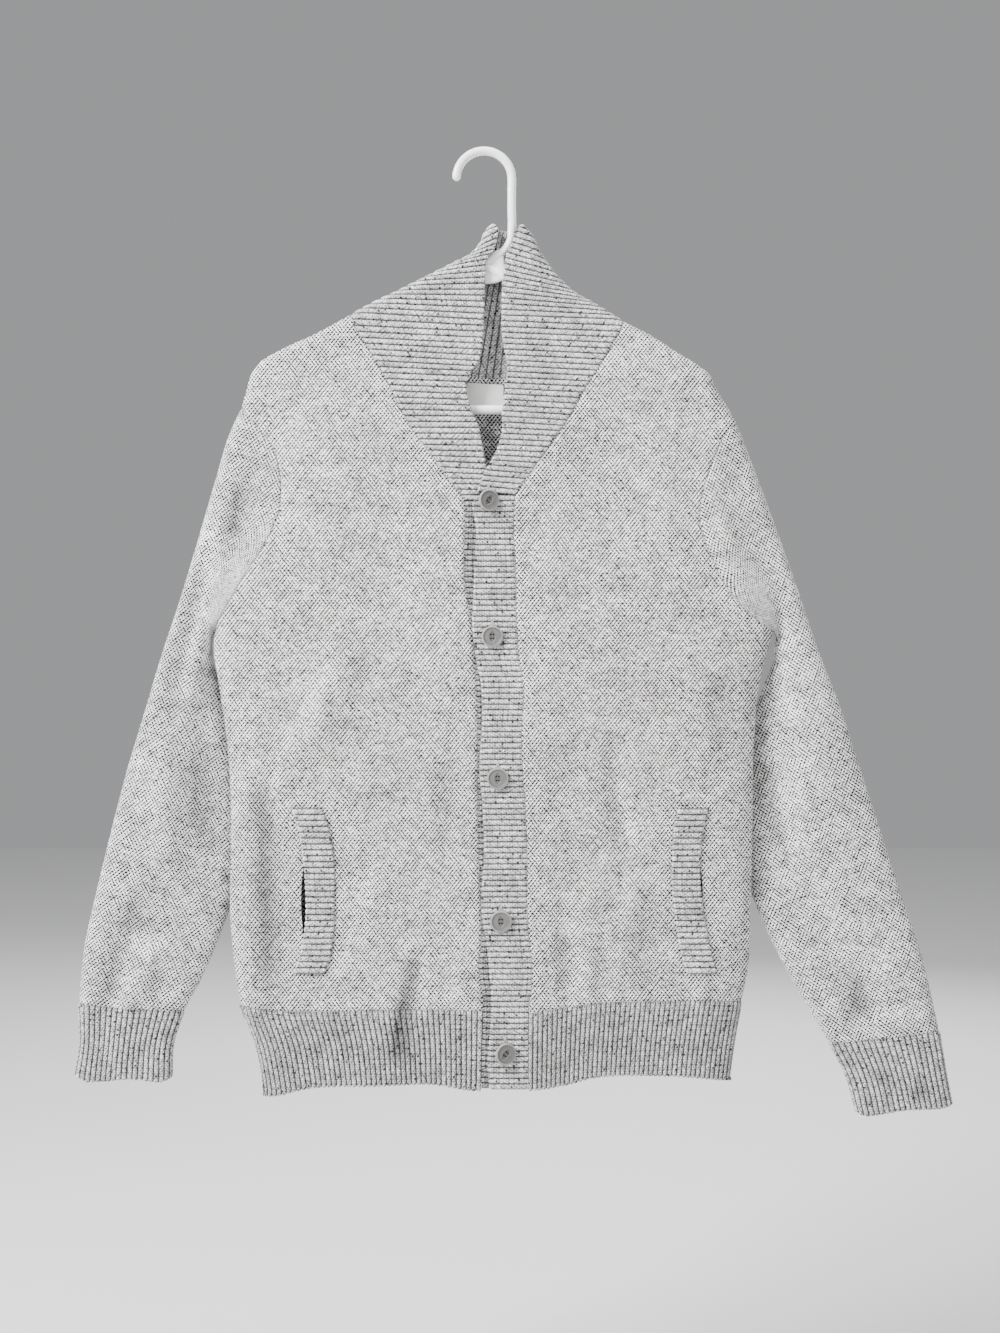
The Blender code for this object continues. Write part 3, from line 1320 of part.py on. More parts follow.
def tube(name, path, radii, closed):
    """Round rod along a path that stays near the middle plane."""
    path = np.asarray(path, float)
    tangent = unit(np.gradient(path, axis=0))
    if closed:
        tangent = unit(np.roll(path, -1, axis=0) - np.roll(path, 1, axis=0))
    aside = np.array([0.0, 1.0, 0.0])
    normal = unit(np.cross(tangent, aside))
    angle = np.arange(TUBE_SIDES) * 2 * np.pi / TUBE_SIDES
    ring = np.cos(angle)[:, None] * normal[:, None] + np.sin(angle)[:, None] * aside
    points = (path[:, None] + ring * np.asarray(radii)[:, None, None]).reshape(-1, 3)
    count = len(path)
    faces = []
    for j in range(count if closed else count - 1):
        k = (j + 1) % count
        for s in range(TUBE_SIDES):
            t = (s + 1) % TUBE_SIDES
            faces.append((j * TUBE_SIDES + s, j * TUBE_SIDES + t, k * TUBE_SIDES + t, k * TUBE_SIDES + s))
    if not closed:
        faces.append(tuple(range(TUBE_SIDES)))
        faces.append(tuple((count - 1) * TUBE_SIDES + s for s in range(TUBE_SIDES)))
    return add_object(name, points, faces, HANGER_FINISH)


def hook_path():
    """Hook and stem: half a circle from the free tip over the crown, then down to the arms."""
    angle = np.radians(np.linspace(HOOK_TIP_ANGLE, 0.0, HOOK_STATIONS))
    centre_height = -(HOOK_RADIUS - HOOK_TUBE)
    arc = np.stack([HOOK_RADIUS * np.cos(angle), centre_height + HOOK_RADIUS * np.sin(angle)], -1)
    stem = along(table(STEM, 0, 1), np.linspace(0.0, 1.0, STEM_STATIONS))
    return lay(np.concatenate([arc, stem[1:]]), 0.0)


def frame_path():
    """Closed run of the hanger: two sloping arms, round ends and a straight bar."""
    half = table(FRAME_HALF, 0, 1)
    other = half[:0:-1] * np.array([-1.0, 1.0])
    run = np.concatenate([half, [[0.0, BAR_HEIGHT]], other])
    return lay(run + np.array([HANGER_CENTRE, 0.0]), 0.0)


def add_hanger():
    """Plastic hanger: a closed frame with a short web at the neck, joined to its hook."""
    run = frame_path()
    hanger = tube("hanger", run, np.full(len(run), ARM_TUBE), closed=True)
    path = hook_path()
    radii = np.full(len(path), HOOK_TUBE)
    radii[0] = HOOK_TUBE * HOOK_TIP
    stem = tube("hanger_stem", path, radii, closed=False)
    web_outline = np.concatenate([table(WEB_ROWS, 1, 0), table(WEB_ROWS, 2, 0)[::-1]])
    front, back = lay(web_outline, -WEB_HALF), lay(web_outline, WEB_HALF)
    web = add_prism("hanger_web", front, back, HANGER_FINISH)
    for other in (stem, web):
        use_cutter(hanger, other, "UNION")
    return hanger


def clear_scene():
    """Remove whatever objects the file opens with."""
    for old in list(bpy.data.objects):
        bpy.data.objects.remove(old, do_unlink=True)


def main():
    """Build every piece of the cardigan and its hanger."""
    clear_scene()
    add_hanger()
    add_front("right_front", 0)
    add_front("left_front", 1)
    add_back()
    add_sleeve("right_sleeve", 0)
    add_sleeve("left_sleeve", 1)
    add_cuff("right_cuff", 0)
    add_cuff("left_cuff", 1)
    add_hems()
    add_collar()
    add_band("button_band", 0, UNDER_BAND_TOP, under_band_edge)
    add_band("buttonhole_band", 1, UPPER_BAND_TOP, upper_band_edge)
    add_welt("right_pocket_welt", 0)
    add_welt("left_pocket_welt", 1)
    add_label()
    for number, (across, height, turn, tip) in enumerate(BUTTONS, start=1):
        add_button(f"button_{number}", across, height, turn, tip)


main()
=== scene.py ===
"""Looks of a shawl collar cardigan on a plastic hanger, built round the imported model.

Every cloth piece is a thin knitted shell on the form of its solid: the same outlines and depth
fields, sampled finely, with rounded ribs, seams, creases and worn unevenness added along the
normals. +X is the wearer's left, -Y the front and +Z up. The origin is the inside crown of the
hanger's hook.
"""
import logging
import math
from dataclasses import dataclass, field
from enum import Enum
from typing import Optional, Sequence

import bmesh
import bpy
import numpy as np
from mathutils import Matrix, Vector


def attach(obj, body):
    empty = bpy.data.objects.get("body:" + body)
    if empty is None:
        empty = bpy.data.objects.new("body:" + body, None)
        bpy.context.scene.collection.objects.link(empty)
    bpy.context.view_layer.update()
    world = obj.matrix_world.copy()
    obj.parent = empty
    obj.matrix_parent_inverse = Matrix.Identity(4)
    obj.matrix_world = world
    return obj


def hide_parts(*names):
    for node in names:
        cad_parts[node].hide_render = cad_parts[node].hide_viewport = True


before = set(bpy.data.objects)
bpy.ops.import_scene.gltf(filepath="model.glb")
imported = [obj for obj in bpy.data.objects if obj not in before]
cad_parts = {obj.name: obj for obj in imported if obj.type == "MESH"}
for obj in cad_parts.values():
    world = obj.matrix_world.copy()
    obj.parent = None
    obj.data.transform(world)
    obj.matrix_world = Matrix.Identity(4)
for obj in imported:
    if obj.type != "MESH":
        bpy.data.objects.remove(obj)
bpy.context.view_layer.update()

logging.basicConfig(level=logging.INFO, format="%(message)s")
LOG = logging.getLogger("cardigan")

Array = np.ndarray
Rows = tuple[tuple[float, ...], ...]
MM = 0.001
BODY = "root"
UV_NAME = "cloth"
# Point attribute of crease height, which the knit turns into painted shade and painted highlight
FOLD_SHADE_NAME = "fold"

# Cloth
WALL = 2.2 * MM
SEAM_HALF = 0.17 * MM
COLLAR_SEAM_HALF = 0.24 * MM
RIB_RIDGE = 1.0 * MM
RIB_GROOVE = 0.55 * MM
MERGE = 1e-7
# Rounded rim of a free edge: shares through the wall, and how far each bulges
RIM = ((0.2, 0.75), (0.5, 1.0), (0.8, 0.75))
CREASE_GAIN = 2.3
# How much a lean narrows a crease, how far it runs past its line and over what share it fades
LEAN_GAIN = 0.45
CREASE_OVERRUN = 0.15
CREASE_TAPER = 0.35
# Reach of the ambient occlusion that paints shade into narrow hollows of the knit
OCCLUSION_SHADE_REACH = 14.0 * MM
SLEEVE_FLAT = (0.24, 0.57)
SLEEVE_AREAS = (0.098, 0.108)
LINE_STEPS = 400

# How far the cloth stands off the middle plane, and how its edges round away
FRONT_DEPTH_TOP = 9.0 * MM
FRONT_DEPTH = 15.0 * MM
BACK_DEPTH_TOP = 9.0 * MM
BACK_DEPTH = 12.0 * MM
DEPTH_START = -150.0 * MM
DEPTH_RUN = 120.0 * MM
TOP_ROUND = 11.0 * MM
FRONT_SIDE_ROUND = 28.0 * MM
BACK_SIDE_ROUND = 20.0 * MM
OVERLAP_LIFT = 4.0 * MM
LIFT_START = -215.0 * MM
LIFT_RUN = 70.0 * MM
LIFT_EDGE = 95.0 * MM
LIFT_FADE = 50.0 * MM

# Ribs in each ribbed piece
WING_RIBS = 32
NECK_SIDE_RIBS = 17
NECK_BACK_RIBS = 8
HEM_HALF_RIBS = 45
HEM_BACK_RIBS = 90
CUFF_HALF_RIBS = 20
BAND_RIBS = 108
WELT_RIBS = 28

# Outlines in millimetres. Right and left are the wearer's, and right is at -X.
# Body side seams: height, right edge, left edge
BODY_EDGES = (
    (-443.6, -250.4, 268.8), (-460, -252, 264.3), (-480, -248.6, 259), (-508, -244.3, 253.8),
    (-532, -240.7, 252.3), (-566, -237.2, 250.4), (-604, -235.5, 250), (-650, -235.5, 249.2),
    (-700, -236.4, 248.3), (-750, -232.5, 246.5), (-790, -225.5, 239), (-828, -211.7, 232),
    (-866, -204, 227),
)
# Hem rib: across, height of the join, height of the lower edge
HEM_LINES = (
    (-226, -790.5, -866), (-193, -793, -870), (-165, -794, -863.5), (-97, -792.5, -861),
    (-45, -792, -859.5), (-15, -793, -864.5), (12, -794, -865), (41, -795, -864), (73, -790, -860),
    (102, -786, -853), (145, -785, -851), (201, -784, -853.7), (240, -786, -859),
)
# Shoulder lines from the neck point to the sleeve seam: across, height
RIGHT_SHOULDER = (
    (-122.8, -147.9), (-155, -165.5), (-188.8, -181.4), (-210.2, -195), (-217, -206),
    (-220.5, -219), (-225.3, -235.3),
)
LEFT_SHOULDER = (
    (129, -154.5), (154.4, -167.4), (182.3, -185.5), (200.9, -196.9), (209.3, -204.2),
    (216.5, -218.6), (226.5, -235.5), (235.3, -250.6),
)
# Armhole seams by the drop from the shoulder: right front, right back, left front, left back
ARMHOLES = (
    (0, -225.3, -225.3, 235.3, 235.3), (0.06, -216, -221.5, 222.5, 230.5),
    (0.12, -204, -218.5, 216.3, 227.5), (0.18, -194.5, -216, 211, 225),
    (0.27, -189, -213, 205.5, 221.5), (0.4, -187, -209, 199.8, 217),
    (0.48, -189.3, -207.5, 199.5, 215.5), (0.57, -197, -208, 204, 216),
    (0.66, -207.5, -210.5, 211.5, 219), (0.75, -220.5, -216, 219.5, 225),
    (0.85, -232, -226, 233, 237.5), (0.93, -242, -238.5, 249, 252),
    (1, -250.4, -250.4, 268.8, 268.8),
)
UNDERARM = -443.6
# Collar seams from the band to the neck point: across, height
RIGHT_COLLAR_SEAM = (
    (-17.2, -322.7), (-26, -311), (-42.8, -288), (-59.9, -265.4), (-77.2, -237), (-90.2, -210),
    (-105.5, -184), (-120, -159), (-122.8, -147.9),
)
LEFT_COLLAR_SEAM = (
    (28.5, -318), (37.5, -305), (47, -292), (65.4, -265.4), (79, -245), (92, -221.5), (105, -201),
    (118.5, -178), (127.5, -161), (129, -154.5),
)
# Seam at the back of the neck, right neck point to left neck point: across, height
BACK_NECK = (
    (-122.8, -147.9), (-112, -160), (-96, -174), (-70, -187), (-31, -200), (3, -206), (36, -201.5),
    (75, -189.5), (102, -176.5), (118, -164.5), (129, -154.5),
)
# Outline of the standing collar from the neck point to its peak: across, height
RIGHT_COLLAR_TOP = (
    (-122.8, -147.9), (-105.5, -138.8), (-77, -125), (-48.5, -110.7), (-27.6, -100.3),
    (-12.5, -92.5), (-3, -81), (1.5, -70.5), (7, -64.8),
)
LEFT_COLLAR_TOP = (
    (129, -154.5), (103.2, -138.8), (83, -127), (67.2, -111.6), (52, -90), (43.5, -73),
    (37, -65.2),
)
# Free edge of each collar wing from the band to the peak: across, height
RIGHT_COLLAR_EDGE = (
    (19, -322.7), (10.5, -308), (2.8, -295.7), (-1.9, -275), (-6.8, -252), (-12.5, -238),
    (-16.8, -222), (-14.5, -207), (-5.5, -191.6), (-2.8, -177.6), (-0.9, -144), (0, -118),
    (2, -98.5), (9, -88.5), (11.8, -78), (11.5, -69), (7, -64.8),
)
LEFT_COLLAR_EDGE = (
    (-4.7, -315), (-2.3, -308), (3.5, -294), (12, -279), (17.7, -261), (18, -240), (21.5, -212),
    (22.8, -195), (20, -182), (17.7, -164), (17.7, -144), (18.6, -117), (20.5, -104), (23, -91),
    (27.6, -83), (31, -71), (37, -65.2),
)
# Back top edge of the collar between its peaks: across, height
COLLAR_BACK_TOP = ((7.0, -64.8), (13.0, -68.5), (22.0, -70.0), (31.0, -68.7), (37.0, -65.2))
# Front bands by height: seam of the under band, edge of the upper band, seam of the upper band
BAND_LINES = (
    (-313, -17, -4.7, 28.2), (-327, -17.2, -9, 27.8), (-345, -17.4, -6.2, 27.2),
    (-386, -18.4, -7.4, 28.9), (-408, -16.5, -7.9, 29.2), (-438, -11.2, -9, 30.1),
    (-466, -8.7, -6, 31.9), (-493, -7.2, -0.9, 36), (-530, -5.8, -0.3, 34.6),
    (-568, -5.8, -2.5, 35.2), (-605, -5.8, 0.4, 37.9), (-646, -5, 1.9, 39.5),
    (-700, -2.8, -0.7, 39.5), (-728, -2.2, 3.7, 41.7), (-752, -4.4, 6.1, 44),
    (-784, -0.6, 8.3, 41.9), (-813, -0.8, 6.9, 38.5), (-840, -1.8, 4.9, 37.8),
    (-866, -2.6, 6.8, 40.8),
)
UPPER_BAND_TOP = -318.4
UNDER_BAND_TOP = -323.1
UNDER_BAND_EDGE = 20.0
BAND_BOTTOM = -864.2
# Sleeves by section: outer across and height, inner across and height, how far the inner edge is
# yawed back behind the body, and how much of the armhole's own curve the section still keeps
RIGHT_SLEEVE = (
    (-225.3, -235.3, -250.4, -443.6, 0, 1), (-236, -258, -251.8, -446.5, 1, 0.72),
    (-249.5, -302, -253.4, -451.5, 3, 0.38), (-266.5, -360, -254.2, -459.5, 6, 0.12),
    (-283.5, -416, -253.2, -470.5, 9.5, 0), (-299.5, -464, -248.5, -488.5, 13.5, 0),
    (-316.5, -521, -238, -526, 16.5, 0), (-330.5, -567, -228.5, -577, 17, 0),
    (-342, -610, -224, -624, 17, 0), (-353.5, -656, -226.5, -670, 16.5, 0),
    (-363.5, -698, -241.5, -712, 13, 0), (-371.5, -735, -259.5, -758, 8, 0),
    (-376.8, -788.6, -279.5, -796.5, 4, 0),
)
LEFT_SLEEVE = (
    (235.3, -250.6, 268.8, -443.6, 0, 1), (244.5, -274.5, 271, -446, 1, 0.72),
    (258, -310, 273, -451, 3, 0.38), (274.5, -355, 273.4, -459, 6, 0.12),
    (291.5, -403, 271, -470, 9.5, 0), (309, -455, 264.5, -488, 13, 0),
    (331, -512, 253, -522, 16, 0), (347, -561, 244, -566, 17, 0), (362, -607, 238.5, -608, 17, 0),
    (376, -651, 238.5, -650, 16.5, 0), (389, -690, 254, -698, 13, 0),
    (406.5, -742, 281.5, -757, 8, 0), (423.2, -813.8, 321.3, -825.8, 3, 0),
)
YAW_START = 0.25
TUBE_EASE = 0.4
SLEEVE_FRONT_DEPTH = 9.0 * MM
SLEEVE_BACK_DEPTH = 9.5 * MM
CUFF_DEPTH = 8.0 * MM
SLEEVE_ROUND = 18.0 * MM
CUFF_ROUND = 12.0 * MM
# Cuffs by section: outer across and height, inner across and height, yaw of the inner edge
RIGHT_CUFF = (
    (-376.8, -788.6, -279.5, -796.5, 4), (-375.6, -820, -288.3, -822, 2.5),
    (-380.4, -853.5, -290.6, -857, 1),
)
LEFT_CUFF = (
    (423.2, -813.8, 321.3, -825.8, 3), (429, -850, 335.5, -853, 2), (435, -881.5, 346, -889.5, 1),
)
# Lower edge of a cuff by the share of its width from the outer edge: right drop, left drop
CUFF_WAVES = (
    (0, 0, 0), (0.14, -5.6, -1.6), (0.35, -4, -1), (0.5, -1.5, 0), (0.7, -2, -1.6),
    (0.9, -3.6, -3), (1, 0, 0),
)
# Soft folds on the front: first end, second end (across, height), half width, height
FRONT_FOLDS = (
    (-61, -735, -82, -850, 15, 3), (-24, -735, -22, -795, 11, 1.4),
    (-86, -640, -98, -730, 15, 1.8), (-105, -440, -155, -530, 28, 2.4),
    (89, -690, 96, -790, 16, 2.6), (110, -550, 127, -655, 18, 1.8),
    (120, -300, 165, -390, 26, 1.6), (-110, -270, -150, -360, 26, 1.6),
)
BACK_FOLDS = (
    (-60, -250, -130, -380, 30, 1.8), (70, -255, 150, -390, 30, 1.8),
    (-95, -620, -120, -850, 22, 2.2), (20, -560, 5, -850, 26, 1.8),
    (110, -660, 135, -845, 20, 2.4),
)
SLEEVE_FOLDS = (
    (-236, -360, -270, -500, 15, 2.2), (-303, -560, -292, -670, 18, 2),
    (-318, -730, -338, -850, 15, 1.6), (222, -320, 246, -400, 15, 2),
    (290, -560, 305, -665, 18, 2), (372, -800, 400, -880, 14, 1.4),
)

SHOULDERS = (RIGHT_SHOULDER, LEFT_SHOULDER)
COLLAR_TOPS = (RIGHT_COLLAR_TOP, LEFT_COLLAR_TOP)
COLLAR_SEAMS = (RIGHT_COLLAR_SEAM, LEFT_COLLAR_SEAM)
COLLAR_EDGES = (RIGHT_COLLAR_EDGE, LEFT_COLLAR_EDGE)
SLEEVES = (RIGHT_SLEEVE, LEFT_SLEEVE)
CUFFS = (RIGHT_CUFF, LEFT_CUFF)
# Across value of each band seam at the hem's join and lower edge
HEM_AT_BAND = ((-0.7, -2.5), (40.9, 40.5))
JOIN_ROW = 10
BODY_MIDDLE = np.array([0.0, -0.5])

TOP_FADE = 0.38

# Rib lines of the collar: how they gather where they cross the outline
CROSSING_BEFORE = 25.0 * MM
CROSSING_AFTER = 10.0 * MM
CROSSING_REACH = 14.0 * MM
CROSSING_CROWDING = 5.0
COLLAR_MIDDLE = np.array([10.0, 0.0, -210.0]) * MM
COLLAR_FLATNESS = 20.0
TINY = 1e-9

# Pocket welts: height, right outer edge, right inner edge, left inner edge, left outer edge
WELTS = (
    (-606.5, -175.2, -151.6, 181, 206.2), (-619, -170.8, -145.6, 177.2, 202),
    (-637, -167.2, -141.6, 175.6, 198.8), (-659, -164.2, -139.6, 174.6, 197.4),
    (-680, -162.8, -139, 174.6, 198.2), (-700, -162.2, -139, 177, 200.4),
    (-725, -164.6, -140.4, 180.2, 204.4), (-745, -168.8, -143, 184.6, 208.8),
    (-758, -173.6, -148, 188.6, 212.6),
)
WELT_WALL = 1.8 * MM
WELT_GAP = 0.35 * MM
# Pocket slits: top, bottom, open edge at mid height, edge hidden under the welt
RIGHT_SLIT = (-644.0, -739.0, -168.6, -159.5)
LEFT_SLIT = (-655.0, -711.0, 201.6, 195.0)
SLITS = (RIGHT_SLIT, LEFT_SLIT)
SLIT_REACH = 8.0 * MM

# Buttons: across, height, turn in degrees about the button's own axis, tip in degrees
BUTTONS = (
    (4.3, -323.6, 36, 24), (8, -448.3, 0, 0), (12.9, -578.5, 0, 0), (15.8, -709.5, 0, 0),
    (19.7, -830.2, 43, 22),
)
BUTTON_RADIUS = 10.0 * MM
BUTTON_THICKNESS = 3.0 * MM
BUTTON_GAP = 0.35 * MM

BUTTON_DISH = 0.6 * MM
BUTTON_HOLE_RADIUS = 0.85 * MM
# Half width and half height of the recess, and place of each hole from the middle
BUTTON_LENS = (3.2 * MM, 5.6 * MM)
BUTTON_HOLE = (1.15 * MM, 1.75 * MM)

# Neck label: across and height of its corners
LABEL_LEFT, LABEL_RIGHT = -34.0 * MM, 18.0 * MM
LABEL_TOP, LABEL_DROP, LABEL_HEIGHT = -209.5 * MM, 3.5 * MM, 22.5 * MM
LABEL_FRONT = 6.2 * MM


# Hanger
HOOK_RADIUS = 25.7 * MM
HOOK_TUBE = 3.9 * MM
HANGER_CENTRE = -3.5 * MM
ARM_TUBE = 4.4 * MM

BAR_HEIGHT = -237.0 * MM
WEB_HALF = 2.6 * MM


# Lengths that set how the cloth is cut up, and cloth coordinates of the ribs
EDGE_REACH = 4.0 * MM
RELIEF_FADE = 14.0 * MM
ARMHOLE_LENGTH = 235.0 * MM
COLLAR_SEAM_LENGTH = 220.0 * MM
FRONT_WIDTH = 235.0 * MM
BACK_WIDTH = 490.0 * MM
SHOULDER_LENGTH = 150.0 * MM
SLEEVE_LENGTH = 590.0 * MM
SLEEVE_WIDTH = 150.0 * MM
CUFF_LENGTH = 66.0 * MM
HEM_DROP = 72.0 * MM
KEEP_SCALE = 0.05
CUFF_PITCH = 4.9 * MM
HEM_PITCH = 5.0 * MM
BAND_PITCH = 5.0 * MM
COLLAR_PITCH = 5.0 * MM
WELT_PITCH = 5.4 * MM
BAND_WIDTH = 36.0 * MM
WELT_WIDTH = 25.0 * MM
# Hanger: half of the frame's middle line from the neck to the bar, and the stem, in millimetres
FRAME_HALF = (
    (0, -104.5), (40, -124.1), (85, -146.15), (130, -168.2), (160, -182.9), (182, -196.9),
    (197, -209.9), (204, -220.9), (201, -231), (192, -237), (144, -237), (74, -237),
)
# Web under the stem: height, left edge and right edge, in millimetres
WEB_ROWS = (
    (-89.5, 11, 17), (-93, 6, 17.6), (-97, -1, 17.8), (-102, -9, 18.2), (-110, -22.5, 21),
    (-114, -19, 19.5), (-118, -16, 14),
)
STEM = (
    (25.7, -35), (25.7, -50), (25.7, -70), (24.3, -80), (19.5, -88), (11, -94.5), (2, -99.5),
    (-3.5, -105),
)


class Side(Enum):
    """The wearer's sides."""

    RIGHT = 0
    LEFT = 1


class Facing(Enum):
    """Which way a body cloth faces, as the sign of its y."""

    FRONT = -1.0
    BACK = 1.0


@dataclass(frozen=True)
class Crease:
    """A soft ridge or trough along a bent line.

    Args:
        line: across and height of its points, in millimetres.
        width: half width of its bell, in millimetres.
        height: how far it stands out, in millimetres; negative is a trough.
        lean: how much steeper its left side is than its right, from -1 to 1.
        facing: the side of the garment it lies on.
    """

    line: Rows
    width: float
    height: float
    lean: float = 0.0
    facing: Facing = Facing.FRONT


def laid(facing: Facing, rows: Rows) -> tuple[Crease, ...]:
    """Creases from rows of across and height of each point, then width, height and lean."""
    return tuple(Crease(tuple(zip(row[:-3:2], row[1:-3:2])), *row[-3:], facing) for row in rows)


# Creases: body from right to left, then right sleeve, then left sleeve
CREASES = laid(Facing.FRONT, (
    (-61, -742, -74, -795, -81, -842, 9, -2, 0.5), (-44, -735, -52, -790, 14, 1.4, -0.3),
    (-22, -730, -20, -792, 8, 1.5, 0.4), (-94, -662, -108, -702, -118, -746, 11, 1.6, 0.5),
    (-131, -476, -158, -534, -187, -588, 17, 2.2, 0.6),
    (-112, -455, -128, -510, -150, -560, 12, -1.1, 0.3),
    (-160, -250, -172, -300, -178, -352, 14, 1.3, 0.4),
    (-204, -590, -201, -680, -197, -785, 12, -1.6, 0.3),
    (-60, -340, -58, -420, -66, -500, 20, 0.8, 0.2), (-36, -560, -44, -640, 12, -0.7, 0.2),
    (89, -693, 98, -730, 92, -786, 11, 2, -0.4), (70, -720, 74, -780, 9, -1.1, 0.3),
    (129, -575, 141, -620, 154, -662, 14, 1.5, 0.4),
    (112, -530, 121, -590, 126, -650, 10, -0.8, 0),
    (150, -260, 168, -310, 172, -366, 15, 1.3, -0.4),
    (66, -350, 70, -440, 62, -520, 20, 0.8, -0.2),
    (150, -690, 146, -740, 150, -780, 10, -0.9, 0.2), (222, -480, 216, -560, 12, -1, 0),
    (-238, -368, -259, -444, -272, -502, 11, 1.7, 0.5),
    (-222, -300, -232, -350, -236, -396, 9, -1.6, 0.3),
    (-262, -392, -280, -460, -292, -515, 13, -1.1, 0.2),
    (-298, -566, -294, -620, -290, -664, 14, 1.8, 0.3),
    (-270, -560, -262, -610, -258, -650, 12, -1.2, 0.2),
    (-289, -724, -326, -776, -332, -800, 10, 1.5, 0.4),
    (-318, -690, -340, -745, -352, -788, 11, -1.2, 0.2), (-300, -740, -306, -790, 8, -0.9, 0),
    (-336, -806, -338, -852, 9, 1, 0.2), (206, -306, 222, -352, 230, -392, 10, 1.6, -0.4),
    (224, -318, 240, -370, 250, -410, 9, -1.3, 0.2),
    (290, -566, 300, -620, 306, -668, 14, 1.7, -0.3),
    (262, -560, 270, -610, 276, -650, 12, -1.1, 0.1),
    (318, -640, 336, -700, 348, -752, 13, 1.2, -0.2),
    (374, -742, 382, -780, 392, -812, 10, 1.2, 0.2), (344, -756, 352, -800, 9, -1.1, 0),
    (404, -852, 402, -882, 8, -1.1, 0.2), (286, -470, 306, -540, 14, 1.1, 0.3),
)) + laid(Facing.BACK, (
    (-70, -262, -104, -330, -140, -400, 20, 1.6, 0.3),
    (80, -262, 116, -330, 150, -402, 19, 1.5, -0.3),
    (-30, -300, -36, -420, -28, -520, 22, -0.9, 0.1),
    (-98, -625, -112, -700, -116, -786, 15, 2, 0.4),
    (-72, -650, -80, -720, -84, -784, 11, -1.3, 0.2), (18, -570, 12, -680, 4, -784, 18, 1.6, 0.2),
    (112, -660, 124, -720, 132, -784, 14, 2, -0.4), (88, -640, 92, -710, 96, -780, 11, -1.2, 0),
    (-170, -450, -140, -540, -128, -600, 18, 1.3, 0.4),
    (176, -450, 150, -540, 140, -610, 18, 1.3, -0.4),
    (-250, -380, -276, -450, -284, -520, 14, 1.6, 0.3),
    (-292, -560, -280, -640, -276, -690, 13, 1.7, 0.2),
    (-320, -600, -326, -680, -342, -760, 13, -1.2, 0.2),
    (250, -370, 280, -450, 292, -520, 14, 1.6, -0.3),
    (290, -570, 300, -640, 310, -700, 13, 1.6, -0.2),
    (336, -600, 346, -680, 372, -770, 13, -1.2, 0.2),
))
# Sewn lines that roll onto the cloth beside an outline
SEAM_GROOVES = laid(Facing.FRONT, (
    (-238, -470, -231, -500, -229, -560, -229.5, -640, -230, -735, -224, -785, 1.5, -0.9, 0),
    (255.8, -650, 264, -690, 290, -746, 329, -814, 1.5, -0.9, 0),
))
# Slow unevenness of hung knitwear: waves across and down per metre, start of the wave, height in mm
WAVES = (
    (9, 4, 0.4, 0.3), (-6, 11, 1.9, 0.26), (17, -7, 3.1, 0.2), (23, 14, 5, 0.13),
    (-31, 19, 2.3, 0.09), (44, 9, 0.9, 0.06),
)


def table(rows: Rows, *columns: int) -> Array:
    """Pick columns of a table in millimetres."""
    return np.array([[row[column] for column in columns] for row in rows], float) * MM


def run_length(line: Array) -> Array:
    """Length along a line."""
    return np.concatenate([[0.0], np.cumsum(np.linalg.norm(np.diff(line, axis=0), axis=1))])


def fine_curve(points: Array) -> Array:
    """A smooth curve through points: cubic between them, with slopes from their neighbours.

    Args:
        points: points, one a row.

    Returns:
        The curve as LINE_STEPS points.
    """
    rows = np.asarray(points, float)
    chord = run_length(rows)
    slope = np.gradient(rows, chord, axis=0)
    place = np.linspace(0.0, chord[-1], LINE_STEPS)
    cell = np.clip(np.searchsorted(chord, place, side="right") - 1, 0, len(chord) - 2)
    span = (chord[cell + 1] - chord[cell])[:, None]
    share = (place - chord[cell])[:, None] / span
    square, cube = share**2, share**3
    start = (2 * cube - 3 * square + 1) * rows[cell]
    start = start + (cube - 2 * square + share) * span * slope[cell]
    end = (3 * square - 2 * cube) * rows[cell + 1] + (cube - square) * span * slope[cell + 1]
    return start + end


def trace(rows: Rows, count: int) -> Array:
    """Evenly spaced points on the smooth curve through a table's points."""
    return along(table(rows, 0, 1), np.linspace(0.0, 1.0, count))


def along(points: Array, shares: Array) -> Array:
    """Points on the smooth curve through points.

    Args:
        points: points, one a row.
        shares: wanted places as shares of the curve's length.

    Returns:
        The points at those shares.
    """
    curve = fine_curve(points)
    length = run_length(curve)
    wanted = np.asarray(shares, float) * length[-1]
    return np.stack([np.interp(wanted, length, axis) for axis in curve.T], axis=-1)


def across_at(rows: Rows, column: int, heights: Array) -> Array:
    """Across value of a table's column, where its first column is the falling height."""
    curve = fine_curve(table(rows, 0, column))
    return np.interp(-np.asarray(heights), -curve[:, 0], curve[:, 1])


def height_at(column: int, across: Array) -> Array:
    """Height of the hem's join (column 1) or lower edge (column 2)."""
    curve = fine_curve(table(HEM_LINES, 0, column))
    return np.interp(across, curve[:, 0], curve[:, 1])


def smooth(share: Array) -> Array:
    """Ease from 0 to 1: three squares less two cubes."""
    share = np.clip(share, 0.0, 1.0)
    return share * share * (3.0 - 2.0 * share)


def rise(share: Array) -> Array:
    """Quarter-ellipse rise from 0 to 1."""
    return np.sqrt(1.0 - (1.0 - np.clip(share, 0.0, 1.0)) ** 2)


def unit(vectors: Array) -> Array:
    """Vectors of length one."""
    return vectors / np.maximum(np.linalg.norm(vectors, axis=-1, keepdims=True), 1e-12)


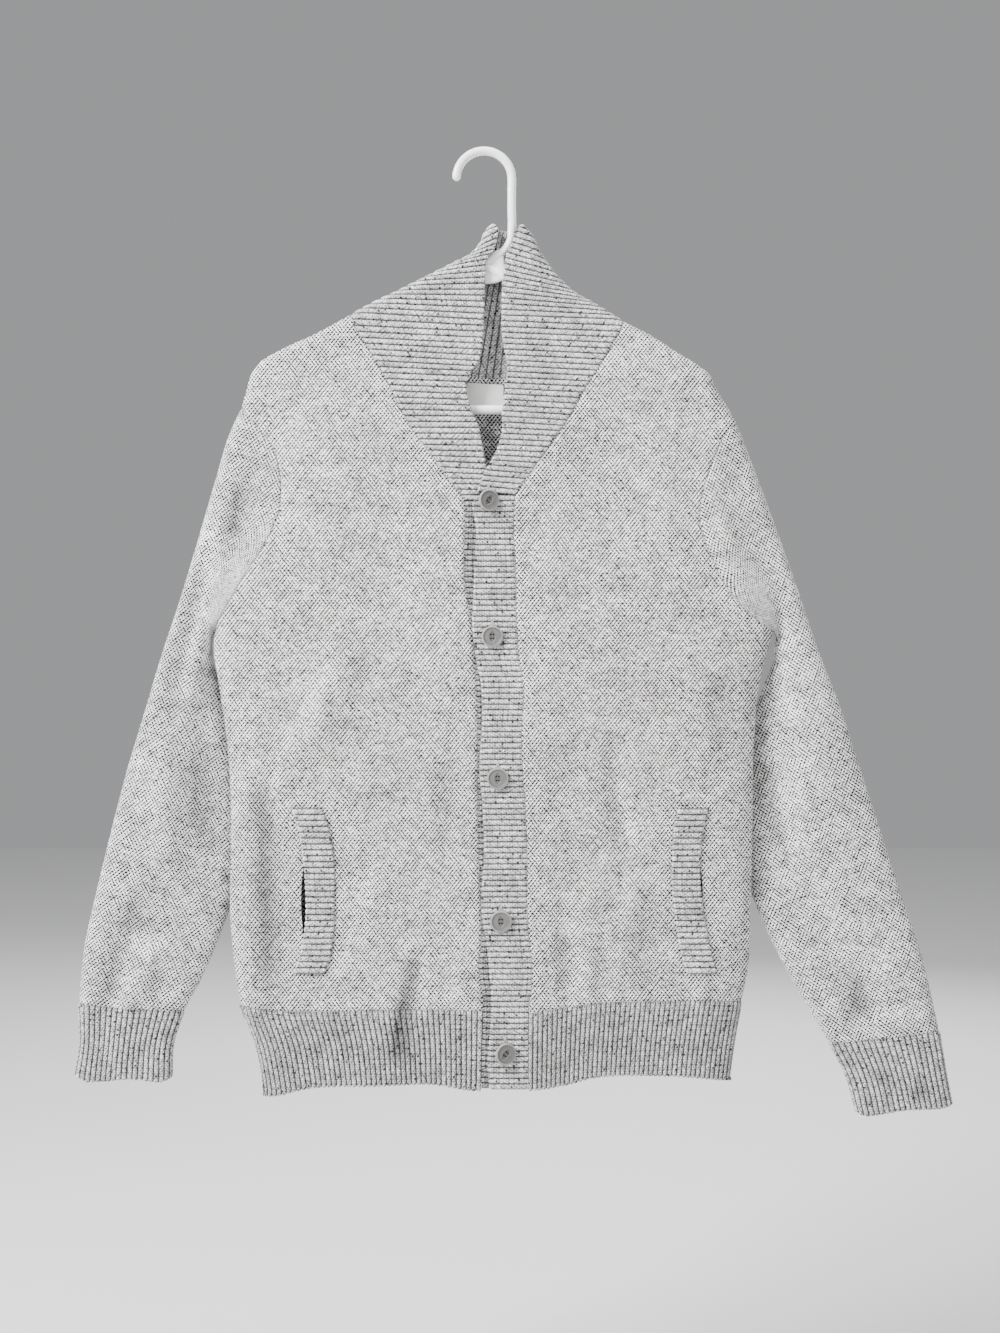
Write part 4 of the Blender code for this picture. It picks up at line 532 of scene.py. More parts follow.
def line_offset(line: Array, points: Array) -> tuple[Array, Array, Array]:
    """Where points lie beside a line of straight pieces.

    Args:
        line: its points, one a row.
        points: places (across, height) along the last axis.

    Returns:
        Distance to the line, the same with the sign of the side, and the run along the line.
    """
    step = np.diff(line, axis=0)
    length = np.linalg.norm(step, axis=1)
    offset = points[..., None, :] - line[:-1]
    share = np.clip((offset * step).sum(-1) / length**2, 0.0, 1.0)
    away = np.linalg.norm(offset - share[..., None] * step, axis=-1)
    nearest = away.argmin(-1)[..., None]
    side = offset[..., 0] * step[:, 1] - offset[..., 1] * step[:, 0]
    start = np.concatenate([[0.0], np.cumsum(length)[:-1]])
    distance = np.take_along_axis(away, nearest, -1)[..., 0]
    signed = distance * np.sign(np.take_along_axis(side, nearest, -1)[..., 0])
    run = np.take_along_axis(start + share * length, nearest, -1)[..., 0]
    return distance, signed, run


def side_line(column: int) -> Array:
    """Side seam from the underarm to the hem's lower edge."""
    return fine_curve(table(BODY_EDGES, column, 0))[::10]


def top_line(side: Side) -> Array:
    """Upper outline from the collar's peak over the shoulder to the cuff.

    Args:
        side: the wearer's side.

    Returns:
        Points (across, height).
    """
    collar = fine_curve(table(COLLAR_TOPS[side.value], 0, 1))[::-8]
    shoulder = fine_curve(table(SHOULDERS[side.value], 0, 1))[::8]
    sleeve = fine_curve(table(SLEEVES[side.value], 0, 1))[::8]
    return np.concatenate([collar, shoulder, sleeve])


SIDE_LINES = (side_line(1), side_line(2))
TOP_LINES = (top_line(Side.RIGHT), top_line(Side.LEFT))


def outline_distance(lines: Sequence[Array], points: Array) -> Array:
    """Distance from points to the nearest of several lines."""
    return np.minimum(*(line_offset(line, points)[0] for line in lines))


def fold_height(folds: Rows, points: Array) -> Array:
    """Height of the largest folds: each is a bell across a straight run, fading at both ends.

    Args:
        folds: table of first end, second end, half width and height.
        points: places (across, height).

    Returns:
        Summed heights in metres.
    """
    total = np.zeros(points.shape[:-1])
    for row in folds:
        x0, z0, x1, z1, half_width, height = (value * MM for value in row)
        start, step = np.array([x0, z0]), np.array([x1 - x0, z1 - z0])
        length = np.linalg.norm(step)
        offset = points - start
        run = (offset @ step) / length
        aside = (offset[..., 0] * step[1] - offset[..., 1] * step[0]) / length
        fade = smooth((run + half_width) / half_width)
        fade = fade * smooth((length + half_width - run) / half_width)
        total += height * fade * np.exp(-((aside / half_width) ** 2))
    return total


def crease_height(creases: Sequence[Crease], facing: Facing, points: Array) -> Array:
    """Height of listed creases: a bell across each bent line, steeper on one side.

    Args:
        creases: the creases.
        facing: only those on this side of the garment count.
        points: places (across, height).

    Returns:
        Summed heights in metres.
    """
    total = np.zeros(points.shape[:-1])
    for crease in creases:
        if crease.facing is not facing:
            continue
        line = np.asarray(crease.line, float) * MM
        distance, signed, run = line_offset(line, points)
        width, length = crease.width * MM, run_length(line)[-1]
        share = signed / width
        width_here = 1.0 - LEAN_GAIN * crease.lean * np.tanh(2.0 * share)
        taper = smooth((run + CREASE_OVERRUN * length) / (CREASE_TAPER * length))
        taper = taper * smooth(((1 + CREASE_OVERRUN) * length - run) / (CREASE_TAPER * length))
        total += crease.height * MM * taper * np.exp(-((distance / (width * width_here)) ** 2))
    return total


def unevenness(points: Array, start: float) -> Array:
    """Slow waves of hung cloth: a sum of sines across and down.

    Args:
        points: places (across, height).
        start: added to the start of each wave, so that cloths differ.

    Returns:
        Heights in metres.
    """
    waves = []
    for across, down, begin, height in WAVES:
        turns = (across * points[..., 0] + down * points[..., 1]) / 4
        waves.append(height * MM * np.sin(2 * np.pi * turns + begin + start))
    return np.sum(waves, axis=0)


def relief(facing: Facing, points: Array, start: float) -> Array:
    """Creases, rolled seams and slow unevenness, as height off the plain surface."""
    creases = CREASE_GAIN * crease_height(CREASES, facing, points)
    return creases + crease_height(SEAM_GROOVES, facing, points) + unevenness(points, start)


@dataclass(frozen=True)
class DepthField:
    """How far a body cloth stands off the middle plane.

    Args:
        facing: front or back.
        top: depth at the neck.
        full: depth down the body.
        side_round: how far in from the side it has rounded out.
        folds: its largest folds.
        lifted: true for the front that overlaps the other.
    """

    facing: Facing
    top: float
    full: float
    side_round: float
    folds: Rows
    lifted: bool = False

    def y(self, points: Array) -> Array:
        """Depth that grows down the body, rounded away at the outline, and lifted at the overlap.

        Args:
            points: places (across, height).

        Returns:
            The y of the cloth's outer surface.
        """
        fall = smooth((DEPTH_START - points[..., 1]) / DEPTH_RUN)
        depth = self.top + (self.full - self.top) * fall
        edge, side = outline_distance(TOP_LINES, points), outline_distance(SIDE_LINES, points)
        rounded = rise(edge / TOP_ROUND) * rise(side / self.side_round)
        y = self.facing.value * (depth + fold_height(self.folds, points)) * rounded
        if self.lifted:
            lift = OVERLAP_LIFT * smooth((LIFT_START - points[..., 1]) / LIFT_RUN)
            y = y - lift * smooth((LIFT_EDGE - points[..., 0]) / LIFT_FADE)
        fade = smooth(edge / RELIEF_FADE) * smooth(side / RELIEF_FADE)
        return y + self.facing.value * relief(self.facing, points, self.facing.value) * fade


FRONT_FIELDS = RIGHT_FIELD, LEFT_FIELD = tuple(
    DepthField(Facing.FRONT, FRONT_DEPTH_TOP, FRONT_DEPTH, FRONT_SIDE_ROUND, FRONT_FOLDS, lifted)
    for lifted in (False, True)
)
BACK_FIELD = DepthField(Facing.BACK, BACK_DEPTH_TOP, BACK_DEPTH, BACK_SIDE_ROUND, BACK_FOLDS)


def lay(points: Array, y: Array) -> Array:
    """3-D points."""
    return np.stack([points[..., 0], np.broadcast_to(y, points.shape[:-1]), points[..., 1]], -1)


def patch(edges: tuple[Array, Array], top: Array, bottom: Array, top_shares: Array,
          shares: Array) -> Array:
    """Grid between four lines, with straight rows that bend to fit the top and bottom lines.

    Args:
        edges: first and last line down the patch, row by row.
        top: upper line, column by column.
        bottom: lower line, column by column.
        top_shares: place of each column on the upper line's chord.
        shares: place of each column lower down.

    Returns:
        Places (across, height) by row and column.
    """
    first, last = edges
    rows = run_length((first + last) / 2)
    v = (rows / rows[-1])[:, None]
    ease = smooth(v / TOP_FADE)
    place = ((1 - ease) * top_shares + ease * shares)[..., None]
    grid = (1 - place) * first[:, None] + place * last[:, None]
    top_chord = top[0] + (top[-1] - top[0]) * top_shares[:, None]
    bottom_chord = bottom[0] + (bottom[-1] - bottom[0]) * shares[:, None]
    grid = grid + (1 - ease)[..., None] * (top - top_chord)
    return grid + v[..., None] ** 4 * (bottom - bottom_chord)


def grid_normal(grid: Array, outward: Array, closed: bool = False) -> Array:
    """Normals of a grid: the cross product of its steps across and down.

    Args:
        grid: 3-D points by row and column.
        outward: vectors that mostly point outwards.
        closed: true if the columns run round.

    Returns:
        Unit normals.
    """
    if closed:
        around = np.concatenate([grid[:, -1:], grid, grid[:, :1]], axis=1)
        across = around[:, 2:] - around[:, :-2]
    else:
        across = np.gradient(grid, axis=1)
    normals = unit(np.cross(across, np.gradient(grid, axis=0)))
    return normals if (normals * outward).sum() > 0 else -normals


def axial_places(half: Array, axis: Array) -> Array:
    """Cloth coordinates of half a tube: over its surface across the axis, and along the axis.

    Args:
        half: 3-D points by row and column, from the outer edge to the inner.
        axis: direction of the tube, of length 1.

    Returns:
        Coordinates (across, along) for each point.
    """
    across = half @ np.cross(axis, (0.0, 1.0, 0.0))
    across = across * np.sign(across[:, -1].mean() - across[:, 0].mean())
    steps = np.hypot(np.diff(across, axis=1), np.diff(half[..., 1], axis=1))
    run = np.concatenate([across[:, :1], steps], 1).cumsum(1)
    return np.stack([run, -(half @ axis)], -1)


def seam_dip(grid: Array, ends: tuple[bool, bool], axis: int, depth: float = 0.9 * MM) -> Array:
    """Inward roll of the cloth at sewn edges: a bell in the distance from the edge.

    Args:
        grid: 3-D points by row and column.
        ends: whether the first and the last line of the grid are sewn.
        axis: 0 if those lines are rows, 1 if they are columns.
        depth: how far in the edge rolls.

    Returns:
        Height to add along the normals.
    """
    steps = np.linalg.norm(np.diff(grid, axis=axis), axis=2)
    start = np.concatenate([np.zeros_like(np.take(steps, [0], axis)), steps.cumsum(axis)], axis)
    back = np.take(start, [-1], axis) - start
    total = np.zeros(start.shape)
    for sewn, distance in zip(ends, (start, back)):
        if sewn:
            total -= depth * np.exp(-((distance / (1.6 * MM)) ** 2))
    return total


def rib_profile(place: Array) -> Array:
    """Round ribs with narrow grooves between them, by a root of a sine's size."""
    wave = np.abs(np.sin(np.pi * place)) ** 0.55
    return -RIB_GROOVE + (RIB_RIDGE + RIB_GROOVE) * wave


def scallop(place: Array, depth: float) -> Array:
    """How far a free edge draws in between its ribs."""
    return depth * np.abs(np.sin(np.pi * place)) ** 0.6


def turn_outwards(mesh: bpy.types.Mesh) -> None:
    """Join a closed mesh's matching corners and turn its faces outwards.

    Args:
        mesh: the mesh to change.
    """
    shape = bmesh.new()
    shape.from_mesh(mesh)
    bmesh.ops.remove_doubles(shape, verts=shape.verts, dist=MERGE)
    bmesh.ops.recalc_face_normals(shape, faces=shape.faces)
    if shape.calc_volume(signed=True) < 0:
        bmesh.ops.reverse_faces(shape, faces=shape.faces)
    shape.to_mesh(mesh)
    shape.free()


def link(name: str, data: bpy.types.ID) -> bpy.types.Object:
    """Put data into the scene.

    Args:
        name: the object's name.
        data: its mesh, light or camera.

    Returns:
        The new object.
    """
    made = bpy.data.objects.new(name, data)
    bpy.context.scene.collection.objects.link(made)
    return made


def dress(made: bpy.types.Object, node: Optional[str] = None) -> bpy.types.Object:
    """Hide the solid an object stands for if any, attach it to the body, and report it.

    Args:
        made: the object.
        node: the solid it stands for, or none.

    Returns:
        The same object.
    """
    if node:
        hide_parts(node)
    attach(made, BODY)
    size = np.array(made.dimensions)[[0, 2]] / MM
    LOG.info("%s: %d faces, %.1f x %.1f mm", made.name, len(made.data.polygons), *size)
    return made


@dataclass
class Skin:
    """Vertices, faces and cloth coordinates gathered for one mesh."""

    points: list[Array] = field(default_factory=list)
    places: list[Array] = field(default_factory=list)
    faces: list[Array] = field(default_factory=list)
    slots: list[Array] = field(default_factory=list)
    count: int = 0

    def add_points(self, points: Array, places: Array) -> Array:
        """Add vertices.

        Args:
            points: 3-D points, any shape by 3.
            places: cloth coordinates, the same shape by 2.

        Returns:
            Their numbers, in that shape.
        """
        shape = points.shape[:-1]
        self.points.append(points.reshape(-1, 3))
        self.places.append(np.broadcast_to(places, shape + (2,)).reshape(-1, 2))
        total = int(np.prod(shape))
        index = np.arange(self.count, self.count + total).reshape(shape)
        self.count += total
        return index

    def bridge(self, first: Array, second: Array, slot: int = 0, closed: bool = False) -> None:
        """Faces between two runs of vertices.

        Args:
            first: vertex numbers of one run.
            second: vertex numbers of the other.
            slot: material slot.
            closed: true if the runs close up.
        """
        if closed:
            first, second = np.append(first, first[0]), np.append(second, second[0])
        self.faces.append(np.stack([first[:-1], first[1:], second[1:], second[:-1]], -1))
        self.slots.append(np.full(len(first) - 1, slot))

    def weave(self, index: Array, slot: int = 0, closed: bool = False) -> None:
        """Faces over a whole grid of vertices.

        Args:
            index: vertex numbers by row and column.
            slot: material slot.
            closed: true if the columns run round.
        """
        if closed:
            index = np.concatenate([index, index[:, :1]], axis=1)
        corners = (index[:-1, :-1], index[:-1, 1:], index[1:, 1:], index[1:, :-1])
        faces = np.stack([corner.ravel() for corner in corners], -1)
        self.faces.append(faces)
        self.slots.append(np.full(len(faces), slot))

    def shell(self, outer: Array, inner: Array, places: Array, free: Sequence[bool] = (False,) * 4,
              closed: bool = False, slot: int = 0) -> "Skin":
        """A cloth wall between an outer and an inner grid, with rounded free edges.

        Args:
            outer: outer points by row and column.
            inner: inner points by row and column.
            places: cloth coordinates.
            free: whether the first row, last row, first column and last column are free edges.
            closed: true if the columns run round.
            slot: material slot.

        Returns:
            The same skin.
        """
        out_index, in_index = self.add_points(outer, places), self.add_points(inner, places)
        self.weave(out_index, slot, closed)
        self.weave(in_index, slot, closed)
        edges = [(0, 1, 0), (-1, -2, 0), (0, 1, 1), (-1, -2, 1)]
        for (edge, beside, axis), is_free in zip(edges[:2] if closed else edges, free):
            outer_line, inner_line = np.take(outer, edge, axis), np.take(inner, edge, axis)
            away = unit(outer_line - np.take(outer, beside, axis))
            thick = np.linalg.norm(outer_line - inner_line, axis=1, keepdims=True)
            away = away * thick * (0.5 if is_free else 0.0)
            if not closed:
                away[[0, -1]] = 0.0
            lines = [np.take(out_index, edge, axis)]
            for share, bulge in RIM:
                middle = outer_line + (inner_line - outer_line) * share + away * bulge
                lines.append(self.add_points(middle, np.take(places, edge, axis)))
            lines.append(np.take(in_index, edge, axis))
            for first, second in zip(lines[:-1], lines[1:]):
                self.bridge(first, second, slot, closed)
        return self

    def build(self, name: str, materials: Sequence[bpy.types.Material],
              crisp: float = 70.0) -> bpy.types.Object:
        """Make the object, with faces turned outwards.

        Args:
            name: the object's name.
            materials: one for each slot.
            crisp: edges sharper than this many degrees aren't smoothed.

        Returns:
            The new object, at the origin.
        """
        mesh = bpy.data.meshes.new(name)
        faces, points = np.concatenate(self.faces), np.concatenate(self.points)
        mesh.vertices.add(len(points))
        mesh.vertices.foreach_set("co", points.ravel())
        mesh.loops.add(faces.size)
        mesh.loops.foreach_set("vertex_index", faces.ravel())
        mesh.polygons.add(len(faces))
        mesh.polygons.foreach_set("loop_start", np.arange(0, faces.size, 4))
        mesh.polygons.foreach_set("material_index", np.concatenate(self.slots))
        mesh.update(calc_edges=True)
        layer = mesh.uv_layers.new(name=UV_NAME)
        layer.data.foreach_set("uv", np.concatenate(self.places)[faces.ravel()].ravel())
        mesh.validate()
        turn_outwards(mesh)
        mark_fold_shading(mesh)
        mesh.shade_smooth()
        mesh.set_sharp_from_angle(angle=math.radians(crisp))
        for material in materials:
            mesh.materials.append(material)
        return link(name, mesh)


def mark_fold_shading(mesh: bpy.types.Mesh) -> None:
    """Keep the height of folds and creases at each point, for painted shade and painted highlight.

    Args:
        mesh: the mesh; it gains a number a point, in metres.
    """
    points, normals = np.empty((2, len(mesh.vertices), 3))
    mesh.vertices.foreach_get("co", points.ravel())
    mesh.vertices.foreach_get("normal", normals.ravel())
    place = points[:, (0, 2)]
    front, back = (crease_height(CREASES, facing, place) for facing in Facing)
    height = CREASE_GAIN * np.where(normals[:, 1] < 0.0, front, back)
    layer = mesh.attributes.new(FOLD_SHADE_NAME, "FLOAT", "POINT")
    layer.data.foreach_set("value", height + fold_height(SLEEVE_FOLDS, place))


def armhole(side: Side, facing: Facing, shares: Array) -> Array:
    """Armhole seam on one half, from the shoulder to the underarm.

    Args:
        side: the wearer's side.
        facing: front or back half.
        shares: places as shares of its length.

    Returns:
        Places (across, height).
    """
    column = 1 + 2 * side.value + int(facing is Facing.BACK)
    top = SHOULDERS[side.value][-1][1]
    rows = tuple((row[column], top + (UNDERARM - top) * row[0]) for row in ARMHOLES)
    return along(table(rows, 0, 1), shares)


def side_seam(side: Side, heights: Array) -> Array:
    """Side seam at given heights."""
    return np.stack([across_at(BODY_EDGES, 1 + side.value, heights), heights], -1)


def side_join(side: Side) -> float:
    """Height of the hem's join at one side seam."""
    return float(height_at(1, BODY_EDGES[JOIN_ROW][1 + side.value] * MM))


def band_line(side: Side, heights: Array) -> Array:
    """Seam between a front and its band.

    Args:
        side: the wearer's side.
        heights: heights in metres.

    Returns:
        Places (across, height).
    """
    join_across, low_across = (value * MM for value in HEM_AT_BAND[side.value])
    join, low = height_at(1, join_across), height_at(2, low_across)
    above = across_at(BAND_LINES, (1, 3)[side.value], heights)
    near = smooth((join + 20 * MM - heights) / (20 * MM))
    share = np.clip((join - heights) / (join - low), 0.0, 1.0)
    below = join_across + (low_across - join_across) * share
    return np.stack([above + (below - above) * near, heights], -1)


@dataclass(frozen=True)
class Counts:
    """How finely the panels are cut.

    Args:
        collar_rows: rows beside the collar seam.
        band_rows: rows beside the band above the underarm.
        lower_rows: rows below the underarm.
        front_columns: columns of a front.
        shoulder_columns: columns of the back under one shoulder.
        neck_columns: columns of the back under the neck.
    """

    collar_rows: int = 56
    band_rows: int = 26
    lower_rows: int = 92
    front_columns: int = 72
    shoulder_columns: int = 42
    neck_columns: int = 60

    @property
    def under(self) -> int:
        """Row of the underarm."""
        return self.collar_rows + self.band_rows

    def upper_shares(self, length: float) -> Array:
        """Shares of an armhole for its rows, closer together at the shoulder."""
        return spaced(length, self.under, 6.0)

    def lower_heights(self, join: float) -> Array:
        """Heights below the underarm, closer together at the hem's join."""
        start = UNDERARM * MM
        return start + (join - start) * spaced(start - join, self.lower_rows, 0.0, 5.0)[1:]


COUNTS = Counts()


def spaced(length: float, count: int, first: float = 0.0, last: float = 0.0) -> Array:
    """Shares of a length, closer together near its ends.

    The spacing is divided by one plus a bump that falls off over 4 mm from an end.

    Args:
        length: the length in metres.
        count: number of steps.
        first: how many times closer at the first end, less one.
        last: the same at the last end.

    Returns:
        Shares from 0 to 1, one more than the steps.
    """
    fine = np.linspace(0.0, 1.0, 3000)
    reach = EDGE_REACH / length
    density = 1 + first * np.exp(-fine / reach) + last * np.exp(-(1 - fine) / reach)
    grown = np.concatenate([[0.0], np.cumsum((density[1:] + density[:-1]) / 2)])
    return np.interp(np.linspace(0.0, grown[-1], count + 1), grown, fine)


def body_edge(side: Side, facing: Facing) -> Array:
    """Armhole and side seam of one side, row by row."""
    upper = armhole(side, facing, COUNTS.upper_shares(ARMHOLE_LENGTH))
    return np.concatenate([upper, side_seam(side, COUNTS.lower_heights(side_join(side)))])


def mid_normal(line: Array) -> Array:
    """Normals of an outline in the middle plane, away from the body.

    Args:
        line: places (across, height).

    Returns:
        Normals (x, 0, z).
    """
    tangent = unit(np.gradient(line, axis=0))
    normal = np.stack([-tangent[:, 1], tangent[:, 0]], -1)
    away = ((line - BODY_MIDDLE) * normal).sum(-1, keepdims=True)
    normal = np.where(away < 0, -normal, normal)
    return lay(normal, np.zeros(len(line)))


@dataclass
class Piece:
    """What every cloth piece shares.

    Args:
        node: name of the solid it stands for.
        slot: material slot of the record; not used.
        flat: width and length of its cut, in metres; not used.
        area: area of the cut in square metres, where it isn't a rectangle; not used.
    """

    node: str
    slot: str
    flat: tuple[float, float]
    area: Optional[float] = None

    @property
    def name(self) -> str:
        """Name of the dressed piece."""
        return self.node + "_cloth"

    def skin(self) -> Skin:
        """Build the piece's surface."""
        raise NotImplementedError

    def finish(self, made: bpy.types.Object) -> bpy.types.Object:
        """Last work on the object."""
        return made

    def make(self, materials: Sequence[bpy.types.Material]) -> bpy.types.Object:
        """Build the piece, hide its solid and attach it to the body.

        Args:
            materials: one for each slot of the mesh.

        Returns:
            The finished object.
        """
        made = dress(self.finish(self.skin().build(self.name, materials)), self.node)
        return made


@dataclass
class Panel(Piece):
    """A body panel of the plain knit, between an armhole or side line and another.

    Args:
        field: its depth field.
    """

    field: DepthField = RIGHT_FIELD

    def walls(self, points: Array, sewn: tuple[bool, bool, bool, bool]) -> tuple[Array, Array]:
        """Outer and inner surface of a panel.

        Args:
            points: places (across, height) by row and column.
            sewn: whether the first row, last row, first and last column roll in at a seam.

        Returns:
            Outer and inner points.
        """
        outer = lay(points, self.field.y(points))
        facing = self.field.facing.value
        normals = grid_normal(outer, np.array([0.0, facing, 0.0]))
        self.edge_normals(points, normals)
        dip = seam_dip(outer, sewn[:2], 0) + seam_dip(outer, sewn[2:], 1)
        outer = outer + normals * dip[..., None]
        inner = outer - normals * WALL
        for grid in (outer, inner):
            grid[..., 1] = facing * np.maximum(facing * grid[..., 1], SEAM_HALF)
        return outer, inner

    def edge_normals(self, points: Array, normals: Array) -> None:
        """Set the normals of the edges that lie on the outline."""
        raise NotImplementedError


@dataclass
class Front(Panel):
    """A front: armhole and side seam on one side, collar and band seam on the other.

    Args:
        side: the wearer's side.
    """

    side: Side = Side.RIGHT

    def points(self) -> Array:
        """Grid of the front from its side to its centre.

        Returns:
            Places (across, height).
        """
        side = self.side
        edge = body_edge(side, Facing.FRONT)
        collar = along(table(COLLAR_SEAMS[side.value], 0, 1)[::-1],
                       spaced(COLLAR_SEAM_LENGTH, COUNTS.collar_rows, 6.0, 1.0))
        first, low = collar[-1, 1], UNDERARM * MM
        join = float(height_at(1, HEM_AT_BAND[side.value][0] * MM))
        heights = np.concatenate([
            np.linspace(first, low, COUNTS.band_rows + 1)[1:], COUNTS.lower_heights(join),
        ])
        centre = np.concatenate([collar, band_line(side, heights)])
        shares = spaced(FRONT_WIDTH, COUNTS.front_columns, 6.0, 6.0)
        top = along(table(SHOULDERS[side.value], 0, 1)[::-1], shares)
        across = edge[-1, 0] + (centre[-1, 0] - edge[-1, 0]) * shares
        bottom = np.stack([across, height_at(1, across)], -1)
        return patch((edge, centre), top, bottom, shares, shares)

    def edge_normals(self, points: Array, normals: Array) -> None:
        """Set the normals of the shoulder and the side seam."""
        normals[0] = mid_normal(points[0])
        normals[COUNTS.under:, 0] = mid_normal(points[COUNTS.under:, 0])

    def skin(self) -> Skin:
        """Build the front's surface.

        Returns:
            The gathered surface.
        """
        points = self.points()
        outer, inner = self.walls(points, (False, True, True, True))
        for grid in (outer, inner):
            inset_edges(grid, COUNTS.under)
        return Skin().shell(outer, inner, points)

    def finish(self, made: bpy.types.Object) -> bpy.types.Object:
        """Cut the pocket mouth.

        Args:
            made: the object.

        Returns:
            The same object with its mouth cut.
        """
        top, bottom, mouth, hidden = (value * MM for value in SLITS[self.side.value])
        share = np.linspace(0.0, 1.0, 40)
        height, bow = top + (bottom - top) * share, np.sin(np.pi * share)
        middle = (mouth + hidden) / 2
        one = np.stack([middle + (mouth - middle) * bow, height], -1)
        other = np.stack([middle + (hidden - middle) * bow, height], -1)[-2:0:-1]
        ring = np.concatenate([one, other])
        near, far = lay(ring, -FRONT_DEPTH - SLIT_REACH), lay(ring, -FRONT_DEPTH + SLIT_REACH)
        cut_through(made, prism(made.name + "_slit", near, far))
        return made


def inset_edges(grid: Array, under: int) -> None:
    """Keep a panel's seams 0.17 mm off the seam lines.

    Args:
        grid: points to change; the first column down to row under is an armhole.
        under: row of the underarm.
    """
    inward = np.sign(grid[:, -1, 0] - grid[:, 0, 0])
    grid[: under + 1, 0, 0] += (inward * SEAM_HALF)[: under + 1]
    grid[1:, -1, 0] -= (inward * SEAM_HALF)[1:]
    grid[-1, :, 2] += SEAM_HALF



def prism(name: str, near: Array, far: Array) -> bpy.types.Object:
    """A solid between two matching rings.

    Args:
        name: the object's name.
        near: one ring of points.
        far: the other ring.

    Returns:
        The new object.
    """
    count = len(near)
    faces = [tuple(range(count)), tuple(range(count, 2 * count))]
    faces += [(j, (j + 1) % count, count + (j + 1) % count, count + j) for j in range(count)]
    mesh = bpy.data.meshes.new(name)
    mesh.from_pydata(np.concatenate([near, far]).tolist(), [], faces)
    turn_outwards(mesh)
    return link(name, mesh)


def cut_through(target: bpy.types.Object, cutter: bpy.types.Object) -> None:
    """Cut one object with another, keep the result as its mesh, and remove the cutter.

    Args:
        target: the object to cut.
        cutter: the cutting shape.
    """
    cut = target.modifiers.new("cut", "BOOLEAN")
    cut.operation, cut.solver, cut.object = "DIFFERENCE", "EXACT", cutter
    bpy.context.view_layer.update()
    graph = bpy.context.evaluated_depsgraph_get()
    mesh = bpy.data.meshes.new_from_object(
        target.evaluated_get(graph), preserve_all_data_layers=True, depsgraph=graph)
    target.modifiers.clear()
    old, target.data = target.data, mesh
    bpy.data.meshes.remove(old)
    bpy.data.objects.remove(cutter, do_unlink=True)


@dataclass
class Back(Panel):
    """The back, from the shoulders and neck to the hem's join."""

    def points(self) -> Array:
        """Grid of the back from its right side to its left.

        Returns:
            Places (across, height).
        """
        shoulder = spaced(SHOULDER_LENGTH, COUNTS.shoulder_columns, 6.0)
        right = along(table(RIGHT_SHOULDER, 0, 1)[::-1], shoulder)
        left = along(table(LEFT_SHOULDER, 0, 1), (1 - shoulder)[::-1])
        neck = trace(BACK_NECK, COUNTS.neck_columns + 1)
        top = np.concatenate([right, neck[1:], left[1:]])
        top_shares = (top[:, 0] - top[0, 0]) / (top[-1, 0] - top[0, 0])
        shares = spaced(BACK_WIDTH, len(top) - 1, 6.0, 6.0)
        edges = (body_edge(Side.RIGHT, Facing.BACK), body_edge(Side.LEFT, Facing.BACK))
        bottom = edges[0][-1] + (edges[1][-1] - edges[0][-1]) * shares[:, None]
        return patch(edges, top, bottom, top_shares, shares)

    def edge_normals(self, points: Array, normals: Array) -> None:
        """Set the normals of the shoulders and side seams.

        Args:
            points: places (across, height).
            normals: normals to change.
        """
        count = COUNTS.shoulder_columns + 1
        for columns in (slice(0, count), slice(-count, None)):
            normals[0, columns] = mid_normal(points[0, columns])
        for column in (0, -1):
            normals[COUNTS.under:, column] = mid_normal(points[COUNTS.under:, column])

    def skin(self) -> Skin:
        """Build the back's surface.

        Returns:
            The gathered surface.
        """
        points = self.points()
        outer, inner = self.walls(points, (False, True, False, False))
        armhole_rows = slice(COUNTS.under + 1)
        neck = slice(COUNTS.shoulder_columns, -COUNTS.shoulder_columns)
        for grid in (outer, inner):
            grid[armhole_rows, 0, 0] += SEAM_HALF
            grid[armhole_rows, -1, 0] -= SEAM_HALF
            grid[-1, :, 2] += SEAM_HALF
            grid[0, neck, 2] -= SEAM_HALF
        return Skin().shell(outer, inner, points)


def tube_half(run: Array, ends: tuple[Array, Array], yaw: Array, depth: float,
              edge_round: float) -> Array:
    """One half of flattened round sections, from the outer edge to the inner.

    Args:
        run: shares across each section, by row and column.
        ends: outer and inner end of each section (across, height).
        yaw: how far the inner end lies back, row by row.
        depth: how far the half stands off; negative is the front.
        edge_round: how far in the edges round.

    Returns:
        Points (x, y, z) by row and column.
    """
    outer, inner = ends
    width = np.linalg.norm(inner - outer, axis=1)[:, None]
    place = outer[:, None] + (inner - outer)[:, None] * run[..., None]
    rounded = rise(run * width / edge_round) * rise((1 - run) * width / edge_round)
    return lay(place, yaw[:, None] * smooth((run - YAW_START) / (1 - YAW_START)) + depth * rounded)


def round_grid(front: Array, back: Array) -> tuple[Array, Array]:
    """Join the halves of a tube."""
    grid = np.concatenate([front, back[:, -2:0:-1]], axis=1)
    return grid, grid_normal(grid, grid - grid.mean(axis=1, keepdims=True), closed=True)


